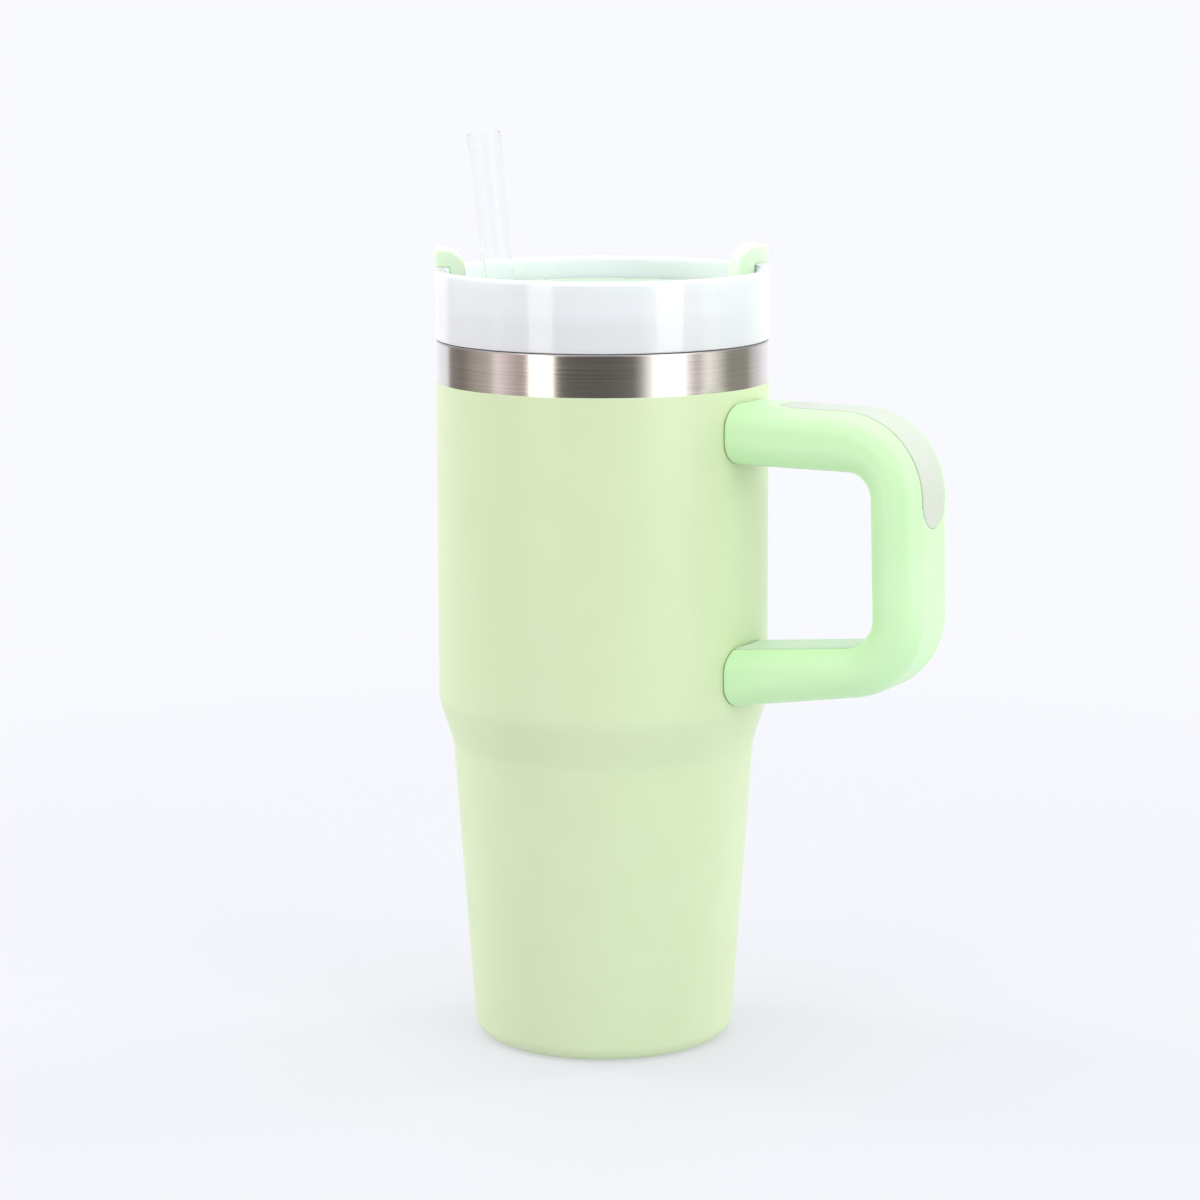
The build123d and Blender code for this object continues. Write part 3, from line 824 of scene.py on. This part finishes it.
# --- handle
@dataclass
class Handle:
    """The D handle: moulded shell, inside strip, soft inlay and the pads against the body."""

    finishes: Finishes
    width: float = 23.5
    corner: float = 6.3
    seat: float = 44.5
    root: float = 30.0
    inlay_half: float = 6.5
    inlay_start: float = 53.6
    inlay_end: float = 144.7
    strip_half: float = 7.5
    recess: float = 0.95
    recess_edge: float = 0.24
    crease: float = 50.0

    def __post_init__(self) -> None:
        """Work out the stations of the outer and inner curves and the sections between them."""
        # The lower arm's two edges rise a little on their way out: rise over run.
        foot_slope, top_slope = 8.7 / (97.5 - 44.0), 4.0 / (83.2 - 44.0)
        back = 44.0 - self.root
        self.outer, self.marks = self.curve(
            [
                (self.root, 94.6 - back * foot_slope, 0.0), (97.5, 103.3, 22.0),
                (96.1, 173.8, 22.0), (self.root, 174.0, 0.0),
            ]
        )
        self.inner, _ = self.curve(
            [
                (self.root, 110.2 - back * top_slope, 0.0), (83.2, 114.2, 8.0),
                (81.9, 158.2, 6.5), (self.root, 158.1, 0.0),
            ]
        )
        self.arm_slope = math.atan(4.0 / 39.2)
        self.middle = (self.outer + self.inner) / 2
        across = self.outer - self.inner
        self.thickness = np.linalg.norm(across, axis=1)
        self.across = across / self.thickness[:, None]
        self.outer_length = self.travel(self.outer)
        self.inner_length = self.travel(self.inner)

    def curve(self, corners: list[tuple[float, float, float]]) -> tuple[np.ndarray, list[int]]:
        """Points along a curve of straight runs and arcs, with fixed counts on each stretch.

        Args:
            corners: (x, z, radius) from the lower root to the upper root.

        Returns:
            The points and the index where each stretch ends.
        """
        low_steps, high_steps = 44, 110
        arc_low = rounded(corners, low_steps)[1 : low_steps + 2]
        arc_high = rounded(corners, high_steps)[high_steps + 2 : 2 * high_steps + 3]
        lower = np.linspace(np.array(corners[0][:2]), arc_low[0], 30)[:-1]
        grip = np.linspace(arc_low[-1], arc_high[0], 120)[1:-1]
        upper = np.linspace(arc_high[-1], np.array(corners[-1][:2]), 100)[1:]
        path = np.concatenate([lower, arc_low, grip, arc_high, upper])
        return path, [len(lower), len(path) - len(upper) - 1]

    def travel(self, path: np.ndarray) -> np.ndarray:
        """Length along a path at each of its points."""
        return np.concatenate([[0.0], np.cumsum(np.linalg.norm(np.diff(path, axis=0), axis=1))])

    def skin(self, length: np.ndarray, lateral: np.ndarray, lift: np.ndarray, outer: bool) -> np.ndarray:
        """Points of the handle's outer or inner face, raised by lift along its normal.

        Across the face the section is flat for width / 2 - corner and then a quarter circle:
        depth = corner - sqrt(corner^2 - over^2), where over is the distance past the flat.

        Args:
            length: travel along that face's curve.
            lateral: distance to the side of the handle's plane.
            lift: height above the face.
            outer: the outer face, or the inner one.

        Returns:
            Points, N by 3.
        """
        travel = self.outer_length if outer else self.inner_length
        side = 1.0 if outer else -1.0
        tracks = (*self.middle.T, *self.across.T, self.thickness)
        mid_x, mid_z, out_x, out_z, thick = (np.interp(length, travel, track) for track in tracks)
        over = np.clip(np.abs(lateral) - (self.width / 2 - self.corner), 0, self.corner) / self.corner
        rise = np.sqrt(1 - over**2)
        height = side * (thick / 2 - self.corner + self.corner * rise + lift * rise)
        aside = lateral + np.sign(lateral) * over * lift
        return np.stack([mid_x + out_x * height, aside, mid_z + out_z * height], -1).reshape(-1, 3)

    def ring(self) -> np.ndarray:
        """The section's walk: outer flat, corner, side, corner, inner flat, corner, side, corner.

        Returns:
            Share of the half thickness, lateral base, and the two parts of the normal.
        """
        flat = self.width / 2 - self.corner
        bend = np.linspace(0, np.pi / 2, 21)
        c, s = np.cos(bend), np.sin(bend)
        ends = np.linspace(1, -1, 4)[1:-1]
        face = np.linspace(-flat, flat, 38)[1:-1]
        back = np.linspace(flat, -flat, 22)[1:-1]
        stretches = [
            (1.0, face, 1.0, 0.0), (1.0, flat, c, s), (ends, flat, 0.0, 1.0), (-1.0, flat, -s, c),
            (-1.0, back, -1.0, 0.0), (-1.0, -flat, -c, -s), (-ends, -flat, 0.0, -1.0), (1.0, -flat, s, -c),
        ]
        return np.concatenate([np.stack(np.broadcast_arrays(*row)) for row in stretches], 1)

    def sunk(self, distance: np.ndarray) -> np.ndarray:
        """Depth of the recess where distance past its border is given: an S over recess_edge."""
        part = np.clip(0.5 - distance / self.recess_edge, 0, 1)
        return self.recess * part * part * (3 - 2 * part)

    def shell(self) -> tuple[np.ndarray, list]:
        """The moulded shell: the rounded section carried along the D and trimmed to the body.

        On each arm a point runs straight from where it meets the cylinder
        x = sqrt(seat^2 - y^2) to the start of the bend. Inside the inlay's capsule and under
        the strip the surface is sunk by recess, with a steep edge recess_edge wide.

        Returns:
            Points and faces.
        """
        share, lateral, out, aside = self.ring()
        half = self.thickness[:, None] / 2 - self.corner
        height = share[None] * half + out[None] * self.corner
        side = np.broadcast_to(lateral + aside * self.corner, height.shape)
        x, z = (self.middle[:, k : k + 1] + self.across[:, k : k + 1] * height for k in (0, 1))
        points = np.stack([x, side, z], -1)
        low, high = self.marks
        for stop, root, rows in ((low, 0, slice(0, low)), (high, -1, slice(high + 1, None))):
            bend, foot = points[stop], points[root]
            reach = np.sqrt(self.seat**2 - foot[:, 1] ** 2)
            along = ((reach - foot[:, 0]) / (bend[:, 0] - foot[:, 0]))[:, None]
            start = foot + along * (bend - foot)
            count = points[rows].shape[0]
            step = (np.arange(count) / count)[:, None, None]
            if root == 0:
                points[rows] = start + step * (bend - start)
            else:
                points[rows] = bend + (step + 1 / count) * (start - bend)
        travel = np.broadcast_to(self.outer_length[:, None], height.shape).copy()
        travel[high:] = self.outer_length[high] + np.abs(points[high:, :, 0] - points[high, :, 0])
        first, last = self.inlay_range()
        beyond = np.abs(travel - (first + last) / 2) - ((last - first) / 2 - self.inlay_half)
        capsule = np.hypot(np.maximum(beyond, 0), points[..., 1]) - self.inlay_half
        strip = np.abs(points[..., 1]) - self.strip_half
        outer_face, inner_face = out[None] > 0.3, out[None] < -0.3
        depth = np.where(outer_face, self.sunk(capsule), 0) + np.where(inner_face, self.sunk(strip), 0)
        points[..., 0] -= depth * self.across[:, 0:1] * out[None]
        points[..., 2] -= depth * self.across[:, 1:2] * out[None]
        points[..., 1] -= depth * aside[None]
        # Each end is closed by a fan round its middle.
        rows, columns = points.shape[:2]
        total, final = rows * columns, (rows - 1) * columns
        here = np.arange(columns)
        ahead = (here + 1) % columns
        fans = [
            np.stack([here, ahead, np.full(columns, total)], -1),
            np.stack([final + ahead, final + here, np.full(columns, total + 1)], -1),
        ]
        faces = grid_faces(rows, columns, False, True).tolist() + np.concatenate(fans).tolist()
        centres = np.stack([points[0].mean(0), points[-1].mean(0)])
        return np.concatenate([points.reshape(-1, 3), centres]), faces

    def inlay_range(self) -> tuple[float, float]:
        """Where the inlay ends on the grip and on the upper arm.

        Returns:
            The two ends, as travel along the outer curve.
        """
        low, high = self.marks
        grip = slice(low + 40, high)
        first = float(np.interp(self.inlay_end, self.outer[grip, 1], self.outer_length[grip]))
        last = float(self.outer_length[high] + self.outer[high, 0] - self.inlay_start)
        return first, last

    def low_section(self, half: float, edge: float, step: float) -> np.ndarray:
        """A flat section that fills the recess, rounded along its two upper edges.

        Args:
            half: half its width.
            edge: radius of the upper edges.
            step: its points are no further apart than this.

        Returns:
            Points of (distance aside, lift).
        """
        low = -self.recess + 0.03
        corners = [(-half, low, 0.0), (half, low, 0.0), (half, 0.0, edge), (-half, 0.0, edge)]
        return spaced(rounded(corners, 6), step)

    def inlay(self) -> tuple[np.ndarray, np.ndarray]:
        """The soft inlay: a low rounded section as wide as the capsule is at each step.

        At each end the half width is sqrt(half^2 - distance^2) from the end circle's centre.

        Returns:
            Points and faces.
        """
        first, last = self.inlay_range()
        half = self.inlay_half - 0.1
        bend = np.linspace(0, np.pi / 2, 24)
        run = np.linspace(first + half, last - half, 170)[1:-1]
        length = np.concatenate(
            [first + half * (1 - np.cos(bend)), run, last - half * (1 - np.sin(bend))]
        )
        width = np.concatenate([np.sin(bend), np.ones(run.size), np.cos(bend)])
        section = self.low_section(half, 0.3, 0.6)
        lateral = width[:, None] * section[:, 0][None]
        lift = np.broadcast_to(section[:, 1][None], lateral.shape)
        points = self.skin(np.broadcast_to(length[:, None], lateral.shape), lateral, lift, True)
        return points, grid_faces(*lateral.shape, False, True)

    def strip(self) -> tuple[np.ndarray, list]:
        """The strip on the inside of the D, from the body round to the body again.

        Returns:
            Points and faces.
        """
        section = self.low_section(self.strip_half - 0.12, 0.35, 0.9)
        low, high = self.marks
        lateral = section[:, 0][None]
        reach = np.sqrt(self.seat**2 - lateral**2)
        start = self.inner_length[low] - (self.inner[low, 0] - reach) / math.cos(self.arm_slope)
        stop = self.inner_length[high] + (self.inner[high, 0] - reach)
        step = np.linspace(0, 1, 24)[:-1, None]
        length = np.concatenate(
            [
                start + step * (self.inner_length[low] - start),
                self.inner_length[low : high + 1 : 2][:, None] * np.ones_like(lateral),
                stop + step[::-1] * (self.inner_length[high] - stop),
            ]
        )
        lift = np.broadcast_to(section[:, 1][None], length.shape)
        points = self.skin(length, np.broadcast_to(lateral, length.shape), lift, False)
        return points, tube_faces(*length.shape)

    def make(self, nodes: dict) -> None:
        """Build the handle's pieces and dress the pads, brackets and screws.

        Args:
            nodes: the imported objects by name.
        """
        look = self.finishes
        for name, shape, finish, slot, node in (
            ("handle_moulding", self.shell(), look.handle, "handle_plastic", "handle_shell"),
            ("grip_inlay_soft", self.inlay(), look.grip, "grip_rubber", "grip_inlay"),
            ("handle_inside_strip", self.strip(), look.strip, "strip_plastic", "handle_inner_cover"),
        ):
            add_piece(name, shape, finish, "mug", slot, node, sharp_degrees=self.crease)
        for name, finish in (
            ("handle_pads", look.seam),
            ("upper_bracket", look.plain_steel),
            ("lower_bracket", look.plain_steel),
            ("handle_screws", look.plain_steel),
        ):
            for held in nodes[name].material_slots:
                held.material = finish
            LOG.info("%s keeps its solid, dressed in %s", name, finish.name)


# --- lid
@dataclass
class Lid:
    """The screw lid: ring, skirt and deck, its seals, the pivot and the turning cover."""

    finishes: Finishes
    radius: float = 44.0
    foot: float = 188.45
    top: float = 206.6
    ring_wall: float = 2.8
    deck: float = 197.5
    deck_thickness: float = 2.2
    skirt: float = 38.65
    skirt_wall: float = 2.0
    skirt_foot: float = 172.8
    thread_start: float = 174.25
    groove: float = 37.8
    groove_top: float = 187.8
    groove_foot: float = 184.4
    vent_radius: float = 1.2
    vent_offset: float = 25.0
    vent_angle: float = 80.0
    straw_angle: float = 231.2
    straw_offset: float = 28.2
    straw_hole: float = 6.6
    sip_angle: float = 150.0
    sip_radius: float = 32.0
    cover_angle: float = 38.5
    cover_radius: float = 40.6
    cover_edge: float = 6.0
    cover_low: float = 198.3
    cover_thickness: float = 2.4
    cover_hole: float = 5.2
    notch: float = 8.7
    tab_angle: float = 5.5
    tab_gap: float = 0.7
    tab_height: float = 5.1
    tab_inner: float = 37.0
    tab_foot: float = 34.6
    tab_back: float = 40.3
    tab_outer: float = 44.1
    tab_round: float = 6.0
    tab_edge: float = 1.2
    tab_lip: float = 0.9
    tab_half: float = 5.5

    def straw_spot(self) -> tuple[float, float]:
        """Where the straw passes the deck."""
        angle = math.radians(self.straw_angle)
        return self.straw_offset * math.cos(angle), self.straw_offset * math.sin(angle)

    def make(self) -> None:
        """Build every piece of the lid."""
        plastic, inner = self.finishes.lid, self.radius - self.ring_wall
        under, bore = self.deck - self.deck_thickness, self.skirt - self.skirt_wall
        outline = rounded(
            [
                (inner, under, 0.0), (inner, self.top, 1.3), (self.radius, self.top, 1.3),
                (self.radius, self.foot, 0.3), (self.skirt, self.foot, 0.0),
                (self.skirt, self.groove_top, 0.0), (self.groove, self.groove_top, 0.1),
                (self.groove, self.groove_foot, 0.1), (self.skirt, self.groove_foot, 0.2),
                (self.skirt, self.skirt_foot, 0.5), (bore, self.skirt_foot, 0.5), (bore, under, 0.8),
            ],
            8,
        )
        add_piece("lid_ring_and_skirt", lathe(outline, 256), plastic, "lid", "lid_plastic", "lid_body")
        vent = self.vent_offset * compass(math.radians(self.vent_angle))
        holes = [
            circle(self.straw_hole, *self.straw_spot(), 64),
            bent_slot(self.sip_radius, self.sip_angle, 16.0, 8.4),
            circle(self.vent_radius, *vent, 24),
        ]
        # The deck reaches a little into the ring, so that no slit shows between them.
        deck = slab(circle(inner + 0.03, steps=192), holes, under, self.deck, 0.3)
        add_piece("lid_deck", deck, plastic, "lid", "lid_plastic")
        boss = rounded([(2.0, 195.4, 0.0), (4.9, 195.4, 0.0), (4.9, 201.0, 0.4), (2.0, 201.0, 0.0)], 5)
        add_piece("lid_boss", lathe(boss, 64), plastic, "lid", "lid_plastic")
        thread = Thread(self.skirt, self.thread_start, False).shape()
        add_piece("lid_thread", thread, plastic, "lid", "lid_plastic")
        self.make_seals()
        self.make_pivot()
        self.make_cover()

    def make_seals(self) -> None:
        """Build the skirt's gasket, the straw's grommet and the pad under the cover.

        Each outline is a row of corners: radius, height, and the corner's own radius.
        """
        rubber = self.finishes.silicone
        inner, outer = self.groove + 0.2, 39.65
        gasket = rounded(
            [
                (inner, 184.6, 0.2), (inner + 1.0, 184.6, 0.2), (outer, 185.7, 0.25),
                (outer, 186.5, 0.25), (inner + 1.0, 187.6, 0.2), (inner, 187.6, 0.2),
            ],
            5,
        )
        add_piece("mouth_gasket", lathe(gasket, 192), rubber, "gasket_ring", "silicone", "lid_gasket")
        grommet = rounded(
            [
                (4.75, 198.7, 0.4), (4.75, 194.1, 0.4), (7.5, 194.1, 0.5), (7.5, 195.25, 0.3),
                (6.5, 195.3, 0.1), (6.5, 197.5, 0.1), (8.0, 197.55, 0.3), (8.0, 198.7, 0.5),
            ],
            5,
        )
        grommet = shifted(lathe(grommet, 80), *self.straw_spot())
        add_piece("straw_grommet", grommet, rubber, "lid", "silicone", "straw_seal")
        pad = slab(bent_slot(self.sip_radius, self.sip_angle, 19.0, 12.3), [], 197.8, 198.98, 0.35)
        add_piece("sip_pad", pad, rubber, "cover", "silicone", "sip_seal")

    def make_pivot(self) -> None:
        """Build the cover's pin, with a low dome, and the washer under the cover."""
        pin = rounded(
            [
                (0.0, 196.05, 0.0), (1.95, 196.05, 0.2), (1.95, 201.02, 0.0), (7.5, 201.02, 0.3),
                (7.4, 202.1, 0.7), (3.0, 202.58, 4.0), (0.0, 202.6, 0.0),
            ],
            6,
        )
        add_piece("cover_pin", lathe(pin, 72), self.finishes.cover, "lid", "pin_plastic", "pivot_pin")
        washer = rounded([(5.0, 197.5, 0.1), (9.0, 197.5, 0.1), (9.0, 198.0, 0.15), (5.0, 198.0, 0.15)], 3)
        rubber = self.finishes.silicone
        add_piece("cover_washer", lathe(washer, 72), rubber, "lid", "silicone", "pivot_washer")

    def make_cover(self) -> None:
        """Build the cover: a plate with a straight front and a notch for the straw, and two tabs."""
        plastic, low = self.finishes.cover, self.cover_low
        limit = math.asin(self.cover_edge / self.cover_radius)
        rim = self.cover_radius * compass(np.linspace(-limit, math.pi + limit, 150))
        spot = self.straw_offset * compass(math.radians(self.straw_angle - self.cover_angle))
        dip = math.asin((self.cover_edge + spot[1]) / -self.notch)
        bay = spot + self.notch * compass(np.linspace(math.pi - dip, dip, 40))
        outline, hole = spaced(np.concatenate([rim, bay]), 2.0), circle(self.cover_hole, steps=48)
        plate = turned(slab(outline, [hole], low, low + self.cover_thickness, 0.45), self.cover_angle)
        add_piece("cover_plate", plate, plastic, "cover", "cover_plastic", "rotating_cover")
        foot, under = low + 0.3, self.top + self.tab_gap
        over = under + self.tab_height
        section = rounded(
            [
                (self.tab_foot, foot, 0.0), (self.tab_back, foot, 0.0), (self.tab_back, under, 0.6),
                (self.tab_outer, under, self.tab_lip), (self.tab_outer, over, self.tab_edge),
                (self.tab_inner, over, self.tab_round),
            ],
            12,
        )
        points, faces = slab(spaced(section, 0.8), [], -self.tab_half, self.tab_half, self.tab_lip)
        upright = np.stack([points[:, 0], -points[:, 2], points[:, 1]], -1)
        for name, angle in (("right", self.tab_angle), ("left", 180.0 - self.tab_angle)):
            tab = turned((upright, faces), self.cover_angle + angle)
            add_piece(f"cover_tab_{name}", tab, plastic, "cover", "cover_plastic")


@dataclass
class Straw:
    """The clear straw, a tube along its own leaning axis."""

    finishes: Finishes
    outside: float = 4.3
    inside: float = 3.3
    lean: float = 5.5
    lean_angle: float = 210.0
    foot: float = 12.0
    top: float = 242.5

    def make(self, spot: tuple[float, float], deck: float) -> None:
        """Build the tube and lay its axis along the lean.

        Args:
            spot: where the axis passes the deck.
            deck: height of the deck.
        """
        slope, angle = math.tan(math.radians(self.lean)), math.radians(self.lean_angle)
        way = np.array([slope * math.cos(angle), slope * math.sin(angle), 1.0])
        start = np.array([*spot, deck]) + way * (self.foot - deck)
        length = float(np.linalg.norm(way)) * (self.top - self.foot)
        outline = rounded(
            [
                (self.inside, 0.0, 0.2), (self.outside, 0.0, 0.3),
                (self.outside, length, 0.3), (self.inside, length, 0.2),
            ],
            5,
        )
        points, faces = lathe(spaced(outline, 12.0), 96)
        turn = np.array(Vector(way).to_track_quat("Z", "Y").to_matrix())
        tube = points @ turn.T + start, faces
        add_piece("straw_tube", tube, self.finishes.straw, "straw", "straw_plastic", "straw")


# --- studio
@dataclass
class Studio:
    """A pale floor, a bright room and soft boxes, with the camera that looks across the handle."""

    azimuth: float = 30.0
    distance: float = 943.83
    height: float = 282.53
    aside: float = -0.82
    pitch: float = 0.1726
    roll: float = -0.0022
    lens: float = 107.496
    rings: tuple[float, ...] = (1.0, 60.0, 200.0, 400.0, 600.0, 820.0)
    ring_steps: int = 128
    floor_level: float = -0.02
    backdrop: str = "F9FAFF"

    def axes(self) -> tuple[Vector, Vector, Vector]:
        """The camera's directions on the level.

        Returns:
            Right, forward and up.
        """
        a = math.radians(self.azimuth)
        c, s = math.cos(a), math.sin(a)
        return Vector((c, s, 0)), Vector((-s, c, 0)), Vector((0, 0, 1))

    def make_camera(self) -> None:
        """Place the camera by its distance, height, pitch and roll."""
        right, forward, up = self.axes()
        data = bpy.data.cameras.new("camera")
        data.lens, data.sensor_width = self.lens, 36.0
        data.clip_start, data.clip_end = 0.01, 20.0
        camera = bpy.data.objects.new("camera", data)
        look = forward * math.cos(self.pitch) - up * math.sin(self.pitch)
        top = right.cross(look)
        c, s = math.cos(self.roll), math.sin(self.roll)
        side, top = right * c + top * s, top * c - right * s
        turn = Matrix((side, top, -look)).transposed()
        place = (right * self.aside - forward * self.distance + up * self.height) * MM
        camera.matrix_world = Matrix.Translation(place) @ turn.to_4x4()
        bpy.context.scene.collection.objects.link(camera)
        bpy.context.scene.camera = camera

    def make_floor(self) -> None:
        """A round table of milky acrylic lit from below, which fades to plain white further out."""
        shape = len(self.rings), self.ring_steps
        turn = np.linspace(0, 2 * np.pi, self.ring_steps + 1)[:-1]
        rings = np.array(self.rings)[:, None]
        x, y = rings * np.cos(turn), rings * np.sin(turn)
        points = np.stack([x, y, np.full(shape, self.floor_level)], -1)
        mesh = bpy.data.meshes.new("floor")
        rows = grid_faces(*shape, False, True).tolist() + [list(range(self.ring_steps - 1, -1, -1))]
        mesh.from_pydata((points.reshape(-1, 3) * MM).tolist(), [], rows)
        material, tree = new_material("lit_acrylic_table")
        place = add_node(tree, "ShaderNodeTexCoord")
        reach = add_node(
            tree, "ShaderNodeVectorMath", {"operation": "LENGTH"}, {0: place.outputs["Object"]}
        )
        fade = add_node(
            tree,
            "ShaderNodeMapRange",
            {"From Min": 0.05, "From Max": 0.6, "To Min": 0.5, "interpolation_type": "SMOOTHSTEP"},
            {"Value": reach.outputs["Value"]},
        )
        acrylic = {"Base Color": linear("D3D4DA"), "Roughness": 0.6, "Specular IOR Level": 0.2}
        sheet = add_node(tree, "ShaderNodeBsdfPrincipled", acrylic)
        tint = add_node(tree, "ShaderNodeValToRGB", links={"Fac": fade.outputs[0]})
        near, far = tint.color_ramp.elements
        near.position, near.color, far.color = 0.5, linear("EFF1F5"), linear(self.backdrop)
        glow = add_node(tree, "ShaderNodeEmission", {"Strength": 1.0}, {"Color": tint.outputs[0]})
        mixed = blend(tree, fade.outputs[0], sheet, glow)
        add_node(tree, "ShaderNodeOutputMaterial", links={"Surface": mixed.outputs[0]})
        mesh.materials.append(material)
        floor = bpy.data.objects.new("floor", mesh)
        bpy.context.scene.collection.objects.link(floor)

    def make_room(self) -> None:
        """The room: bright all round, with the dark gaps between its panels near the horizon.

        Each panel is (where it starts, in degrees round from behind the mug, and its colour).
        """
        world = bpy.data.worlds.new("room")
        bpy.context.scene.world = world
        world.use_nodes = True
        tree = world.node_tree
        tree.nodes.clear()
        right, forward, _ = self.axes()
        way = add_node(tree, "ShaderNodeTexCoord").outputs["Generated"]
        ahead, across = (
            add_node(
                tree, "ShaderNodeVectorMath", {"operation": "DOT_PRODUCT", 1: tuple(axis)}, {0: way}
            ).outputs["Value"]
            for axis in (forward, right)
        )
        bearing = add_node(tree, "ShaderNodeMath", {"operation": "ARCTAN2"}, {0: across, 1: ahead})
        circuit = {"From Min": -math.pi, "From Max": math.pi}
        share = add_node(tree, "ShaderNodeMapRange", circuit, {"Value": bearing.outputs[0]})
        ramp = add_node(tree, "ShaderNodeValToRGB", links={"Fac": share.outputs[0]})
        panels = [
            (-180, "5B5753"), (-149, "5E5A57"), (-143, "FFF8EE"), (-131, "FFF8EE"), (-125, "938784"),
            (-114, "C4B4B5"), (-102, "F2E4E4"), (-96, "B3ABA3"), (-80, "A0988F"), (-68, "7A726F"),
            (-50, "847E7C"), (-44, "E8E8EE"), (34, "E8E8EE"), (54, "C0BEBF"), (62, "8E8C84"),
            (84, "8C8C84"), (94, "D4D5CA"), (103, "FFFAFA"), (112, "B4A6A7"), (122, "FFFEFC"),
            (147, "FFFEFC"), (153, "A8A4A2"), (158, "686462"), (180, "5B5753"),
        ]
        stops = ramp.color_ramp.elements
        stops[0].color, stops[-1].color = linear(panels[0][1]), linear(panels[-1][1])
        for start, colour in panels[1:-1]:
            stops.new((start + 180) / 360).color = linear(colour)
        rise = add_node(tree, "ShaderNodeSeparateXYZ", links={0: way})
        level = add_node(tree, "ShaderNodeMath", {"operation": "ABSOLUTE"}, {0: rise.outputs["Z"]})
        height = add_node(
            tree,
            "ShaderNodeMapRange",
            {"From Min": 0.3, "From Max": 0.6, "interpolation_type": "SMOOTHSTEP"},
            {"Value": level.outputs[0]},
        )
        low = add_node(tree, "ShaderNodeBackground", {"Strength": 1.4}, {"Color": ramp.outputs[0]})
        plain = {"Color": linear(self.backdrop), "Strength": 1.0}
        high = add_node(tree, "ShaderNodeBackground", plain)
        room = blend(tree, height.outputs[0], low, high)
        backdrop = add_node(tree, "ShaderNodeBackground", plain)
        paths = add_node(tree, "ShaderNodeLightPath")
        through = add_node(
            tree,
            "ShaderNodeMath",
            {"operation": "MAXIMUM"},
            {0: paths.outputs["Is Camera Ray"], 1: paths.outputs["Is Transmission Ray"]},
        )
        seen = blend(tree, through.outputs[0], room, backdrop)
        add_node(tree, "ShaderNodeOutputWorld", links={"Surface": seen.outputs[0]})

    def make_lights(self) -> None:
        """Soft boxes: a wide one overhead, and two tall ones on each side, in front and further back.

        Each is (name, place, width and height in metres, power in watts, colour). The fills
        light the mug without being seen in its reflections.
        """
        right, forward, up = self.axes()
        boxes = [
            ("overhead_box", right * -100 + forward * -100 + up * 1300, 1.4, 1.2, 6.5, "FFFFFF"),
            ("left_fill", right * -1090 + forward * 510 + up * 420, 0.34, 1.2, 6.0, "FFFBFA"),
            ("front_left_box", right * -840 + forward * -930 + up * 360, 0.4, 1.3, 2.6, "FFFCF6"),
            ("front_right_box", right * 900 + forward * -870 + up * 360, 0.45, 1.3, 4.4, "FFFEFC"),
            ("right_fill", right * 1090 + forward * 510 + up * 420, 0.34, 1.2, 5.6, "FFFFFF"),
        ]
        for name, place, wide, tall, power, colour in boxes:
            data = bpy.data.lights.new(name, "AREA")
            data.shape, data.size, data.size_y = "RECTANGLE", wide, tall
            data.energy, data.color = power, linear(colour)[:3]
            light = bpy.data.objects.new(name, data)
            turn = (Vector((0, 0, 110.0)) - place).to_track_quat("-Z", "Y").to_matrix()
            light.matrix_world = Matrix.Translation(place * MM) @ turn.to_4x4()
            light.visible_glossy = light.visible_transmission = not name.endswith("fill")
            bpy.context.scene.collection.objects.link(light)

    def make(self) -> None:
        """Build the studio."""
        bpy.context.scene.view_settings.view_transform = "Standard"
        self.make_camera()
        self.make_floor()
        self.make_room()
        self.make_lights()


def main() -> None:
    """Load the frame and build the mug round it."""
    logging.basicConfig(level=logging.INFO, format="%(name)s: %(message)s")
    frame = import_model()
    finishes = Finishes()
    Studio().make()
    Vessel(finishes).make()
    Handle(finishes).make(frame["nodes"])
    lid = Lid(finishes)
    lid.make()
    Straw(finishes).make(lid.straw_spot(), lid.deck)
    LOG.info("the mug is complete")


if __name__ == "__main__":
    main()
